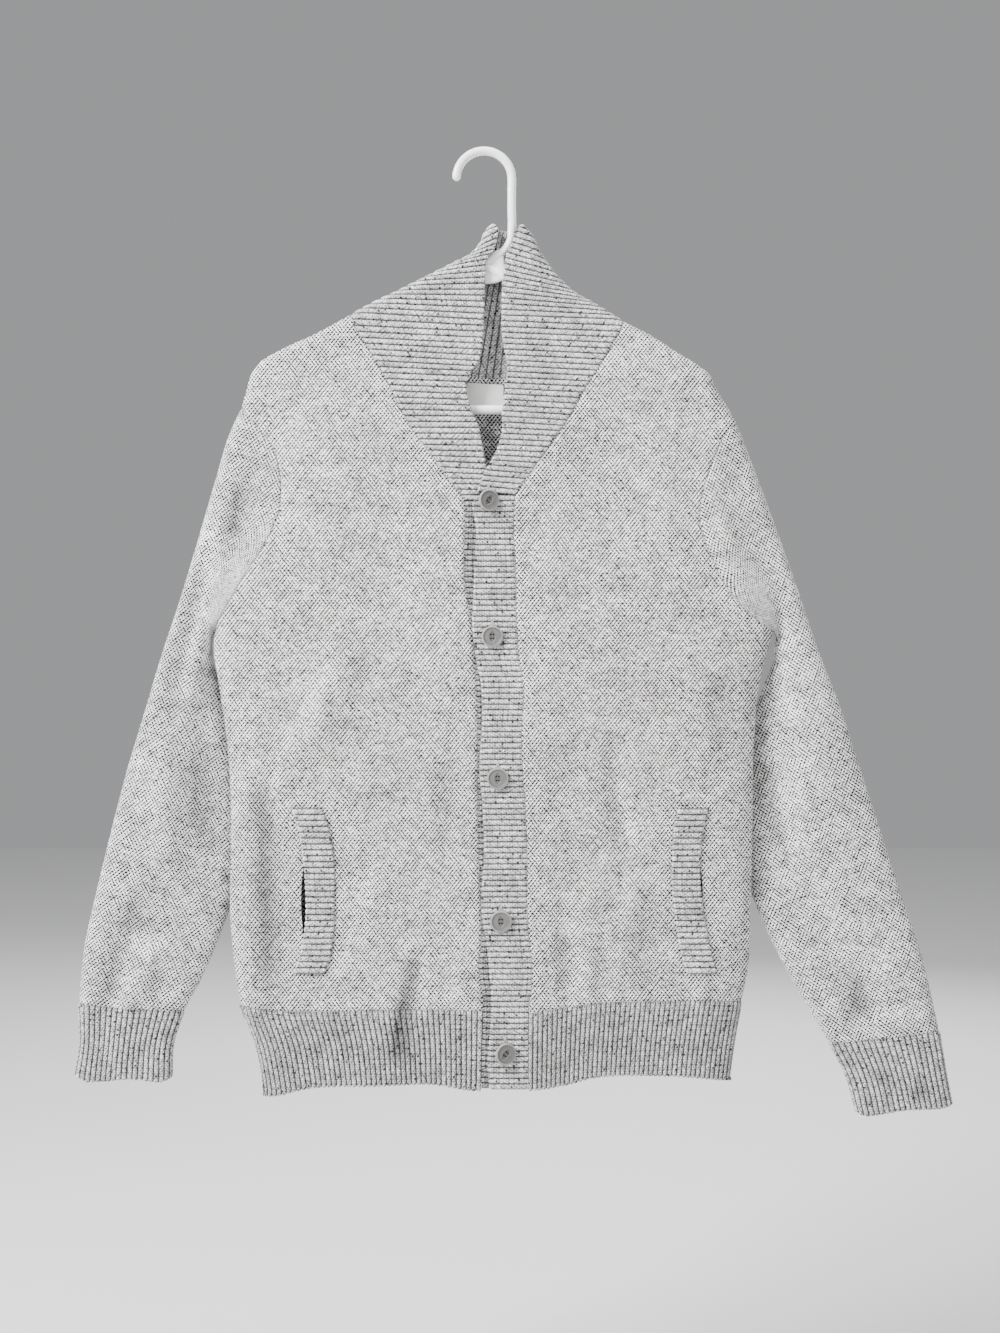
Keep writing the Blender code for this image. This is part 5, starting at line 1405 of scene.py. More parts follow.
@dataclass
class Sleeve(Piece):
    """A sleeve: the armhole's own section easing into flattened round ones down to the cuff.

    Args:
        side: the wearer's side.
        rows: number of sections.
        half_columns: columns of the front half, and of the back half.
    """

    side: Side = Side.RIGHT
    rows: int = 140
    half_columns: int = 58

    def sections(self) -> Array:
        """Smoothly interpolated sections.

        Returns:
            Outer across and height, inner across and height, yaw and keep, one row a section.
        """
        rows = np.array(SLEEVES[self.side.value], float)
        scaled = rows * np.array([MM, MM, MM, MM, MM, KEEP_SCALE])
        fine = along(scaled, spaced(SLEEVE_LENGTH, self.rows, 2.0, 4.0))
        fine[:, 5] = np.clip(fine[:, 5] / KEEP_SCALE, 0.0, 1.0)
        return fine

    def half(self, facing: Facing, shares: Array, sections: Array) -> Array:
        """Front or back half of every section.

        Args:
            facing: front or back.
            shares: shares across, outer edge to inner.
            sections: the sections.

        Returns:
            Points (x, y, z) by section and share.
        """
        yaw, keep = sections[:, 4], sections[:, 5][:, None]
        base = armhole(self.side, facing, shares)
        chord = base[0] + (base[-1] - base[0]) * shares[:, None]
        tube = TUBE_EASE * smooth(shares) + (1 - TUBE_EASE) * shares
        run = shares * keep + tube * (1 - keep)
        depth = -SLEEVE_FRONT_DEPTH if facing is Facing.FRONT else SLEEVE_BACK_DEPTH
        own = tube_half(run, (sections[:, :2], sections[:, 2:4]), yaw, depth, SLEEVE_ROUND)
        bend = keep ** (1 + 3 * shares**2)
        place = own[..., (0, 2)] + bend[..., None] * (base - chord)
        swell = np.sin(np.pi * shares) ** 0.5
        worn = relief(facing, place, 2.0 + self.side.value)
        fold = fold_height(SLEEVE_FOLDS, place) + (1 - keep) * worn
        body = BACK_FIELD if facing is Facing.BACK else FRONT_FIELDS[self.side.value]
        folded = own[..., 1] + facing.value * fold * swell
        return lay(place, keep * body.y(place) + (1 - keep) * folded)

    def skin(self) -> Skin:
        """Build the sleeve's surface.

        Returns:
            The gathered surface.
        """
        shares = spaced(SLEEVE_WIDTH, self.half_columns, 5.0, 5.0)
        sections = self.sections()
        front, back = (self.half(facing, shares, sections) for facing in Facing)
        for end in (0, -1):
            level = back[:, end, 1] * (1 - sections[:, 5])
            front[:, end, 1] = back[:, end, 1] = level
        grid, normals = round_grid(front, back)
        outer = grid + normals * seam_dip(grid, (True, True), 0)[..., None]
        inner = outer - normals * WALL
        outward = (-1.0, 1.0)[self.side.value]
        down = unit(grid[-1].mean(0) - grid[-4].mean(0))
        for wall in (outer, inner):
            wall[0, :, 0] += outward * SEAM_HALF
            wall[-1] -= down * SEAM_HALF
        axis = unit(grid[-1].mean(0) - grid[0].mean(0))
        places = [axial_places(half, axis) for half in (front, back)]
        places = np.concatenate([places[0], places[1][:, -2:0:-1]], axis=1)
        return Skin().shell(outer, inner, places, closed=True)


@dataclass
class Cuff(Piece):
    """A ribbed cuff: a flattened tube whose ribs run down the arm.

    Args:
        side: the wearer's side.
        rows: number of sections.
        rib_columns: columns of a rib.
    """

    side: Side = Side.RIGHT
    rows: int = 18
    rib_columns: int = 6

    def skin(self) -> Skin:
        """Build the cuff's surface.

        Returns:
            The gathered surface.
        """
        rows = np.array([row + (0.0,) for row in CUFFS[self.side.value]], float) * MM
        rows[-1, 5] = KEEP_SCALE
        sections = along(rows, spaced(CUFF_LENGTH, self.rows, 1.0, 2.0))
        low = np.clip(sections[:, 5] / KEEP_SCALE, 0.0, 1.0)[:, None]
        columns = CUFF_HALF_RIBS * self.rib_columns
        even = np.linspace(0.0, 1.0, columns + 1)
        width = np.linalg.norm(sections[:, 2:4] - sections[:, :2], axis=1).mean()
        fine = np.linspace(0.0, 1.0, 800)
        swell = rise(fine * width / CUFF_ROUND)
        bow = CUFF_DEPTH * swell * rise((1 - fine) * width / CUFF_ROUND)
        length = run_length(np.stack([fine * width, bow], -1))
        shares = np.interp(even * length[-1], length, fine)
        run = np.broadcast_to(shares, (len(sections), len(shares)))
        ends = (sections[:, :2], sections[:, 2:4])
        halves = []
        wave = table(CUFF_WAVES, 1 + self.side.value)[:, 0]
        drop = np.interp(shares, [row[0] for row in CUFF_WAVES], wave)
        for facing in Facing:
            half = tube_half(run, ends, sections[:, 4], facing.value * CUFF_DEPTH, CUFF_ROUND)
            place = half[..., (0, 2)]
            fold = fold_height(SLEEVE_FOLDS, place) + relief(facing, place, 2.0 + self.side.value)
            half[..., 1] += facing.value * fold * np.sin(np.pi * shares) ** 0.5
            half[..., 2] += drop * low**2
            halves.append(half)
        grid, normals = round_grid(*halves)
        number = np.arange(2 * columns) / self.rib_columns
        outer, inner = ribbed(grid, normals, rib_profile(number), 0.7 * MM)
        down = unit(grid[3].mean(0) - grid[0].mean(0))
        for wall in (outer, inner):
            wall[0] += down * SEAM_HALF
        places = rib_places(grid, number * CUFF_PITCH)
        return Skin().shell(outer, inner, places, (False, True), closed=True)


def ribbed(grid: Array, normals: Array, ribs: Array, dip: float = 0.8 * MM) -> tuple[Array, Array]:
    """Outer and inner surface of a ribbed wall, sewn along its first row, with lower ribs inside.

    Args:
        grid: points of the plain surface.
        normals: its normals.
        ribs: height of the ribs.
        dip: how far the seam rolls in.

    Returns:
        Outer and inner points.
    """
    seam = seam_dip(grid, (True, False), 0, dip)
    outer = grid + normals * (ribs + seam)[..., None]
    inner = grid + normals * (0.45 * ribs + seam - WALL)[..., None]
    return outer, inner


def rib_places(grid: Array, across: Array) -> Array:
    """Cloth coordinates of ribs: pitch by pitch across them, and length along them.

    Args:
        grid: points by row and column; the ribs run down the rows.
        across: coordinate across the ribs, column by column.

    Returns:
        Coordinates in metres.
    """
    steps = np.linalg.norm(np.diff(grid, axis=0), axis=2)
    run = np.concatenate([np.zeros_like(steps[:1]), steps.cumsum(0)])
    return np.stack([np.broadcast_to(across, run.shape), -run], -1)


@dataclass
class Hem(Piece):
    """A ribbed hem piece under a panel, with ribs that run down.

    Args:
        field: the panel's depth field.
        ribs: number of ribs.
        left_end: the wearer's side of its left-hand end, or None at a band.
        right_end: the same for its right-hand end.
        band: whose band it meets.
        rib_columns: columns of a rib.
        rows: rows down.
    """

    field: DepthField = BACK_FIELD
    ribs: int = HEM_BACK_RIBS
    left_end: Optional[Side] = Side.RIGHT
    right_end: Optional[Side] = Side.LEFT
    band: Side = Side.RIGHT
    rib_columns: int = 7
    rows: int = 17

    def end_line(self, side: Optional[Side], down: Array) -> Array:
        """Line down one end of the hem.

        Args:
            side: the side seam's side, or None at the band.
            down: shares down the hem.

        Returns:
            Places (across, height).
        """
        if side is None:
            join_across, low_across = (value * MM for value in HEM_AT_BAND[self.band.value])
            top, low = height_at(1, join_across), height_at(2, low_across)
            across = join_across + (low_across - join_across) * down
            return np.stack([across, top + (low - top) * down], -1)
        top, low = side_join(side), height_at(2, BODY_EDGES[-1][1 + side.value] * MM)
        return side_seam(side, top + (low - top) * down)

    def skin(self) -> Skin:
        """Build the hem's surface.

        Returns:
            The gathered surface.
        """
        down = spaced(HEM_DROP, self.rows, 1.5, 3.0)
        first, last = self.end_line(self.left_end, down), self.end_line(self.right_end, down)
        columns = self.ribs * self.rib_columns + 1
        fine = np.linspace(first[0, 0], last[0, 0], 4000)
        top = np.stack([fine, height_at(1, fine)], -1)
        length = run_length(lay(top, self.field.y(top)))
        across = np.interp(np.linspace(0.0, length[-1], columns), length, fine)
        shares = (across - across[0]) / (across[-1] - across[0])
        across = first[:, :1] + (last[:, :1] - first[:, :1]) * shares
        facing = self.field.facing.value
        upper = height_at(1, across[0]) if self.field is not BACK_FIELD else np.interp(
            across[0], [across[0][0], across[0][-1]], [side_join(Side.RIGHT), side_join(Side.LEFT)])
        upper = upper - SEAM_HALF
        place = np.linspace(0.0, self.ribs, columns)
        lower = height_at(2, across[-1]) - scallop(place, 0.8 * MM)
        points = np.stack([across, upper + (lower - upper) * down[:, None]], -1)
        grid = lay(points, self.field.y(points))
        normals = grid_normal(grid, np.array([0.0, facing, 0.0]))
        for column, side in ((0, self.left_end), (-1, self.right_end)):
            if side is not None:
                normals[:, column] = mid_normal(points[::-1, column])[::-1]
            else:
                grid[:, column, 0] += SEAM_HALF if column == 0 else -SEAM_HALF
        grow = 0.55 + 0.45 * smooth(down / 0.25)[:, None]
        outer, inner = ribbed(grid, normals, rib_profile(place) * grow)
        for wall in (outer, inner):
            wall[..., 1] = facing * np.maximum(facing * wall[..., 1], SEAM_HALF)
        places = rib_places(grid, place * HEM_PITCH)
        return Skin().shell(outer, inner, places, (False, True, False, False))


@dataclass
class Collar(Piece):
    """The shawl collar: a ribbed strip from the seams over the outline to the free edge.

    Args:
        rib_columns: columns of a rib.
        rows: places along each rib.
    """

    rib_columns: int = 6
    rows: int = 46

    def lines(self) -> tuple[Array, Array, Array]:
        """Seam, outline crossing and free edge of every rib line, left wing to right wing.

        Returns:
            Three lists of places (across, height).
        """
        wing, side = WING_RIBS * self.rib_columns + 1, NECK_SIDE_RIBS * self.rib_columns
        neck = (2 * NECK_SIDE_RIBS + NECK_BACK_RIBS) * self.rib_columns + 1
        seam = np.concatenate([
            trace(LEFT_COLLAR_SEAM, wing), trace(BACK_NECK[::-1], neck)[1:-1],
            trace(RIGHT_COLLAR_SEAM[::-1], wing),
        ])
        right_top, left_top = (trace(rows, side + 1)[1:] for rows in COLLAR_TOPS)
        back_top = trace(COLLAR_BACK_TOP[::-1], NECK_BACK_RIBS * self.rib_columns + 1)[1:-1]
        crossing = np.concatenate([seam[:wing], left_top, back_top, right_top[::-1], seam[-wing:]])
        right_edge, left_edge = (trace(rows, wing + side) for rows in COLLAR_EDGES)
        return seam, crossing, np.concatenate([left_edge, back_top, right_edge[::-1]])

    def row_places(self, before: Array, after: Array) -> Array:
        """Places along each rib line, closer together at the outline, with one of them on it.

        Args:
            before: length from the seam to the outline.
            after: length from the outline to the free edge.

        Returns:
            Lengths from the seam, by line and row.
        """
        total = before + after
        fine = np.linspace(0.0, 1.0, LINE_STEPS)
        bend = smooth(before / CROSSING_BEFORE) * smooth(after / CROSSING_AFTER)
        away = (fine[None] * total[:, None] - before[:, None]) / CROSSING_REACH
        density = 1 + CROSSING_CROWDING * bend[:, None] * np.exp(-(away**2))
        rim = total[:, None] * (1 - fine[None])
        density = density * (1 + 3 * np.exp(-rim / EDGE_REACH))
        density = density * (1 + 3 * np.exp(-total[:, None] * fine / EDGE_REACH))
        grown = np.cumsum(density, axis=1)
        grown = (grown - grown[:, :1]) / (grown[:, -1:] - grown[:, :1])
        wanted = np.linspace(0.0, 1.0, self.rows + 1)
        places = np.stack([np.interp(wanted, line, fine) for line in grown]) * total[:, None]
        nearest = np.abs(places[:, 1:-1] - before[:, None]).argmin(1) + 1
        lines = np.arange(len(places))
        snap = (before > TINY) & (after > TINY)
        places[lines[snap], nearest[snap]] = before[snap]
        return places

    def skin(self) -> Skin:
        """Build the collar's surface.

        Returns:
            The gathered surface.
        """
        seam, crossing, edge = self.lines()
        before = np.linalg.norm(crossing - seam, axis=1)
        after = np.linalg.norm(edge - crossing, axis=1)
        places = self.row_places(before, after).T
        behind = places < before - TINY
        back_share = (places / np.maximum(before, TINY))[..., None]
        front_share = ((places - before) / np.maximum(after, TINY))[..., None]
        points = np.where(behind[..., None], seam + (crossing - seam) * back_share,
                          crossing + (edge - crossing) * front_share)
        columns = len(seam)
        on_left = np.arange(columns) < columns // 2
        front = np.where(on_left, LEFT_FIELD.y(points), RIGHT_FIELD.y(points))
        grid = lay(points, np.where(behind | (after < TINY), BACK_FIELD.y(points), front))
        outside = grid - COLLAR_MIDDLE
        outside[..., 1] *= COLLAR_FLATNESS
        normals = grid_normal(grid, outside)
        number = np.arange(columns) / self.rib_columns
        outer, inner = ribbed(grid, normals, rib_profile(number))
        across = unit(grid[1] - grid[0])
        for wall in (outer, inner):
            wall[0] += across * COLLAR_SEAM_HALF
            wall[:, 0, 2] += SEAM_HALF
            wall[:, -1, 2] += SEAM_HALF
        places = rib_places(grid, number * COLLAR_PITCH)
        return Skin().shell(outer, inner, places, (False, True, False, False))


@dataclass
class Band(Piece):
    """A front band whose ribs run across, between the front's seam and a free edge.

    Args:
        side: the wearer's side.
        top: its upper end in millimetres.
        rib_columns: steps of a rib.
        columns: steps across.
    """

    side: Side = Side.RIGHT
    top: float = UNDER_BAND_TOP
    rib_columns: int = 6
    columns: int = 13

    def free_edge(self, heights: Array) -> Array:
        """Across value of the free edge.

        Args:
            heights: heights in metres.

        Returns:
            Across values in metres.
        """
        if self.side is Side.RIGHT:
            return np.full(len(heights), UNDER_BAND_EDGE * MM)
        ribs = np.linspace(0.0, BAND_RIBS, len(heights))
        return across_at(BAND_LINES, 2, heights) - scallop(ribs, 0.7 * MM) + 0.4 * MM

    def skin(self) -> Skin:
        """Build the band's surface.

        Returns:
            The gathered surface.
        """
        rows = BAND_RIBS * self.rib_columns + 1
        heights = np.linspace(self.top, BAND_BOTTOM, rows) * MM
        seam = band_line(self.side, heights)[:, 0] + (SEAM_HALF, -SEAM_HALF)[self.side.value]
        edge = self.free_edge(heights)
        shares = spaced(BAND_WIDTH, self.columns, 3.0, 4.0)
        across = seam[None] + (edge - seam)[None] * shares[:, None]
        points = np.stack([across, np.broadcast_to(heights, across.shape)], -1)
        grid = lay(points, FRONT_FIELDS[self.side.value].y(points))
        normals = grid_normal(grid, np.array([0.0, -1.0, 0.0]))
        number = np.arange(rows) / self.rib_columns
        outer, inner = ribbed(grid, normals, rib_profile(number))
        places = rib_places(grid, number * BAND_PITCH)
        return Skin().shell(outer, inner, places, (False, True, True, True))


@dataclass
class Welt(Piece):
    """A ribbed pocket welt laid on a front; its ribs run across.

    Args:
        side: the wearer's side.
        rib_columns: steps of a rib.
        columns: steps across.
    """

    side: Side = Side.RIGHT
    rib_columns: int = 7
    columns: int = 11

    def skin(self) -> Skin:
        """Build the welt's surface.

        Returns:
            The gathered surface.
        """
        rows = WELT_RIBS * self.rib_columns + 1
        heights = np.linspace(WELTS[0][0], WELTS[-1][0], rows) * MM
        edges = [across_at(WELTS, column, heights) for column in ((1, 2), (3, 4))[self.side.value]]
        shares = spaced(WELT_WIDTH, self.columns, 4.0, 4.0)
        number = np.arange(rows) / self.rib_columns
        bow = scallop(number, 0.5 * MM)
        across = edges[0] - bow + (edges[1] - edges[0] + 2 * bow) * shares[:, None]
        points = np.stack([across, np.broadcast_to(heights, across.shape)], -1)
        crown = 0.7 * MM * np.sin(np.pi * shares)[:, None]
        under = lay(points, FRONT_FIELDS[self.side.value].y(points) - WELT_GAP)
        normals = np.broadcast_to(np.array([0.0, -1.0, 0.0]), under.shape)
        outer = under + normals * (WELT_WALL + crown + rib_profile(number)[None])[..., None]
        inner = under + normals * 0.25 * crown[..., None]
        return Skin().shell(outer, inner, rib_places(under, number * WELT_PITCH), (True,) * 4)


@dataclass(frozen=True)
class Button:
    """A four-hole button with a raised rim and a pointed-oval recess.

    Args:
        number: which button, from the top.
        across: place across, in millimetres.
        height: height in millimetres.
        turn: turn about its own axis, in degrees.
        tip: how far it tips outwards, in degrees.
    """

    number: int
    across: float
    height: float
    turn: float
    tip: float

    def face(self, x: Array, z: Array) -> Array:
        """Height of the front face: rounded edge, raised rim, shallow dish, recess and holes.

        Args:
            x: across, in metres.
            z: up, in metres.

        Returns:
            Height over the back.
        """
        radius = np.hypot(x, z) / BUTTON_RADIUS
        edge = rise((1.0 - radius) / 0.1)
        dish = BUTTON_DISH * smooth((0.84 - radius) / 0.16)
        crown = 0.25 * MM * (1 - smooth(radius / 0.7))
        lens = 1 - np.abs(x) / BUTTON_LENS[0] - (z / BUTTON_LENS[1]) ** 2
        recess = 0.55 * MM * smooth(lens / 0.3)
        from_hole = np.hypot(np.abs(x) - BUTTON_HOLE[0], np.abs(z) - BUTTON_HOLE[1])
        holes = smooth((BUTTON_HOLE_RADIUS - from_hole) / (0.35 * MM))
        top = BUTTON_THICKNESS - dish + crown - recess - 1.3 * MM * holes
        return 0.5 * BUTTON_THICKNESS + (top - 0.5 * BUTTON_THICKNESS) * edge

    def make(self, materials: Sequence[bpy.types.Material]) -> bpy.types.Object:
        """Build the button.

        Args:
            materials: one for each slot of the mesh.

        Returns:
            The finished object.
        """
        line = 2 * spaced(2 * BUTTON_RADIUS, 64, 4.0, 4.0) - 1
        u, v = np.meshgrid(line, line[::-1])
        x = BUTTON_RADIUS * (u * np.sqrt(1 - v**2 / 2))
        z = BUTTON_RADIUS * (v * np.sqrt(1 - u**2 / 2))
        under = 0.5 * BUTTON_THICKNESS * (1 - rise((1 - np.hypot(x, z) / BUTTON_RADIUS) / 0.1))
        angle, tip = math.radians(self.turn), math.radians(self.tip)
        place = np.array([[self.across, self.height]]) * MM
        front = LEFT_FIELD.y(place)[0] - RIB_RIDGE - BUTTON_GAP - math.sin(tip) * BUTTON_RADIUS
        turned_x = x * math.cos(angle) + z * math.sin(angle)
        turned_z = z * math.cos(angle) - x * math.sin(angle)
        grids = []
        for lift in (self.face(x, z), under):
            y = -lift
            grids.append(np.stack([
                turned_x * math.cos(tip) - y * math.sin(tip) + place[0, 0],
                turned_x * math.sin(tip) + y * math.cos(tip) + front,
                turned_z + place[0, 1],
            ], -1))
        node = f"button_{self.number}"
        skin = Skin().shell(*grids, np.stack([x, z], -1))
        return dress(skin.build(node + "_disc", materials, 50.0), node)


@dataclass(frozen=True)
class Buttonholes:
    """The stitched rims of the buttonholes, and a dark sheet in each slit as painted shade.

    Args:
        length: length of a buttonhole.
        width: width of its slit.
        rise_above: how far its top stands over the button's middle.
    """

    length: float = 21.0 * MM
    width: float = 1.6 * MM
    rise_above: float = 14.5 * MM

    def make(self, materials: Sequence[bpy.types.Material]) -> bpy.types.Object:
        """Build all of them in one object.

        Args:
            materials: thread, then the slit's painted shade.

        Returns:
            The finished object.
        """
        skin = Skin()
        angle = np.linspace(0.0, 2 * np.pi, 97)[:-1]
        around = np.linspace(0.0, 2 * np.pi, 9)[:-1]
        for across, height, *_ in BUTTONS:
            middle = np.array([across * MM, height * MM + self.rise_above - self.length / 2])
            bow = np.sign(np.sin(angle)) * np.abs(np.sin(angle)) ** 1.3
            half_width, half_length = 0.5 * (self.width + 0.9 * MM), 0.5 * self.length
            run = np.stack([half_width * bow, half_length * np.cos(angle)], -1) + middle
            away = unit(np.stack([np.sin(angle) + TINY, 0.3 * np.cos(angle)], -1))
            centre = lay(run, LEFT_FIELD.y(run) - 0.75 * RIB_RIDGE)
            thick = (0.55 * MM * (1 + 0.16 * np.sign(np.sin(24 * angle))))[:, None, None]
            ring = np.cos(around)[:, None] * lay(away, 0.0)[:, None]
            ring = ring + np.sin(around)[:, None] * np.array([0.0, -1.0, 0.0])
            tube = centre[:, None] + ring * thick
            index = skin.add_points(tube, np.zeros(tube.shape[:2] + (2,)))
            index = np.concatenate([index, index[:1]])
            skin.weave(index, 0, closed=True)
            # A near black lens in the slit: painted shade where the opening is
            share = np.linspace(-1.0, 1.0, 13)
            half = 0.5 * self.width * np.sqrt(1 - share**2)
            up = middle[1] + half_length * share
            lens = np.stack([np.stack([middle[0] + half * side, up], -1) for side in (-1, 1)])
            y = LEFT_FIELD.y(lens)
            skin.shell(lay(lens, y - 0.72 * RIB_RIDGE), lay(lens, y + 0.3 * MM), lens, slot=1)
        return dress(skin.build("buttonhole_stitching", materials))


@dataclass(frozen=True)
class Label:
    """The bare label sewn at the back neck seam."""

    def make(self, materials: Sequence[bpy.types.Material]) -> bpy.types.Object:
        """Build the label.

        Args:
            materials: one for each slot of the mesh.

        Returns:
            The finished object.
        """
        u, v = np.meshgrid(np.linspace(0.0, 1.0, 53), np.linspace(0.0, 1.0, 25))
        x = LABEL_LEFT + (LABEL_RIGHT - LABEL_LEFT) * u
        z = LABEL_TOP - LABEL_DROP * u - LABEL_HEIGHT * v
        curl = 0.5 * MM * v**2 * np.cos(2 * np.pi * (u - 0.35)) + 0.25 * MM * np.sin(9 * u + 2 * v)
        y = LABEL_FRONT + 0.1 * MM - np.clip(curl, -0.5 * MM, 0.7 * MM)
        front, back = (np.stack([x, depth, z], -1) for depth in (y, y + 0.6 * MM))
        skin = Skin().shell(front, back, np.stack([x, z], -1), (True,) * 4)
        made = dress(skin.build("neck_label_cloth", materials), "neck_label")
        return made


@dataclass(frozen=True)
class Hanger:
    """The plastic hanger: a closed round frame with a short web at the neck, and its hook.

    Args:
        sides: sides of the tubes.
        frame_steps: stations round the frame.
        hook_steps: stations along the hook.
    """

    sides: int = 24
    frame_steps: int = 260
    hook_steps: int = 120

    def frame_run(self) -> Array:
        """Middle of the frame's tube: two sloping arms, round ends and a straight bar.

        Returns:
            Points round the frame, evenly spaced.
        """
        half = np.array(FRAME_HALF) * MM
        right = half[:0:-1] * np.array([-1.0, 1.0])
        corners = np.concatenate([half, [[0.0, BAR_HEIGHT]], right])
        around = np.concatenate([corners[-3:], corners, corners[:4]])
        curve = fine_curve(around)
        length = run_length(curve)
        chord = run_length(around)
        scale, number = length[-1] / chord[-1], np.arange(len(length))
        start, end = (np.interp(chord[at] * scale, length, number) for at in (3, 3 + len(corners)))
        inside = np.interp(np.linspace(start, end, self.frame_steps + 1)[:-1], number, length)
        run = np.stack([np.interp(inside, length, axis) for axis in curve.T], -1)
        return lay(run + np.array([HANGER_CENTRE, 0.0]), 0.0)

    def hook_run(self) -> Array:
        """Middle of the hook and stem: over the crown from the free tip, then down to the arms.

        Returns:
            Points along the hook.
        """
        angle = np.radians(np.linspace(185.0, 0.0, 15))
        arc = HOOK_RADIUS * np.stack([np.cos(angle), np.sin(angle)], -1)
        arc = arc - np.array([0.0, HOOK_RADIUS - HOOK_TUBE])
        path = np.concatenate([arc, table(STEM, 0, 1)])
        return lay(along(path, smooth(np.linspace(0.0, 1.0, self.hook_steps))), 0.0)

    def tube(self, skin: Skin, path: Array, radii: Array, closed: bool) -> None:
        """A round rod along a path in the middle plane.

        Args:
            skin: where it goes.
            path: points along it.
            radii: radius at each point.
            closed: true if it runs round.
        """
        step = np.roll(path, -1, 0) - np.roll(path, 1, 0) if closed else np.gradient(path, axis=0)
        normal = unit(np.cross(unit(step), (0.0, 1.0, 0.0)))
        angle = np.arange(self.sides) * 2 * np.pi / self.sides
        ring = np.cos(angle)[:, None] * normal[:, None]
        ring = ring + np.sin(angle)[:, None] * np.array([0.0, 1.0, 0.0])
        points = path[:, None] + ring * radii[:, None, None]
        index = skin.add_points(points, points[..., (0, 2)])
        if closed:
            index = np.concatenate([index, index[:1]])
        skin.weave(index, closed=True)

    def make(self, materials: Sequence[bpy.types.Material]) -> bpy.types.Object:
        """Build the hanger.

        Args:
            materials: one for each slot of the mesh.

        Returns:
            The finished object.
        """
        skin = Skin()
        run = self.frame_run()
        self.tube(skin, run, np.full(len(run), ARM_TUBE), True)
        path = self.hook_run()
        from_tip = run_length(path)
        to_end = from_tip[-1] - from_tip
        radii = HOOK_TUBE * rise(from_tip / (HOOK_TUBE * 1.1)) * rise(to_end / HOOK_TUBE)
        self.tube(skin, path, radii, False)
        heights = np.linspace(WEB_ROWS[0][0], WEB_ROWS[-1][0], 25) * MM
        left, right = (across_at(WEB_ROWS, column, heights)[:, None] for column in (1, 2))
        u, z = np.meshgrid(np.linspace(-1.0, 1.0, 41), heights)
        x = (left + right) / 2 + (right - left) / 2 * u
        thick = WEB_HALF * (1 - 0.25 * u**6)
        front, back = (np.stack([x, depth, z], -1) for depth in (-thick, thick))
        skin.shell(front, back, np.stack([x, z], -1), (True,) * 4)
        return dress(skin.build("hanger_rod", materials, 60.0), "hanger")


@dataclass(frozen=True)
class Wire:
    """A value in a shader tree, with the signs of arithmetic.

    Args:
        nodes: the tree's nodes.
        socket: the output that carries it.
    """

    nodes: "Nodes"
    socket: bpy.types.NodeSocket

    def __add__(self, other: object) -> "Wire":
        """Sum with a number or value."""
        return self.nodes.math("ADD", self, other)

    def __sub__(self, other: object) -> "Wire":
        """Difference from a number or value."""
        return self.nodes.math("SUBTRACT", self, other)

    def __rsub__(self, other: float) -> "Wire":
        """A number less this value."""
        return self.nodes.math("SUBTRACT", other, self)

    def __mul__(self, other: object) -> "Wire":
        """Product with a number or value."""
        return self.nodes.math("MULTIPLY", self, other)

    def __truediv__(self, other: object) -> "Wire":
        """Quotient by a number or value."""
        return self.nodes.math("DIVIDE", self, other)

    def __abs__(self) -> "Wire":
        """The value without its sign."""
        return self.nodes.math("ABSOLUTE", self)

    def floor(self) -> "Wire":
        """The whole part."""
        return self.nodes.math("FLOOR", self)

    def fract(self) -> "Wire":
        """The part after the point."""
        return self.nodes.math("FRACT", self)

    def spread(self, span: object, start: object) -> "Wire":
        """The value times a span, plus a start."""
        return self.nodes.math("MULTIPLY_ADD", self, span, start)


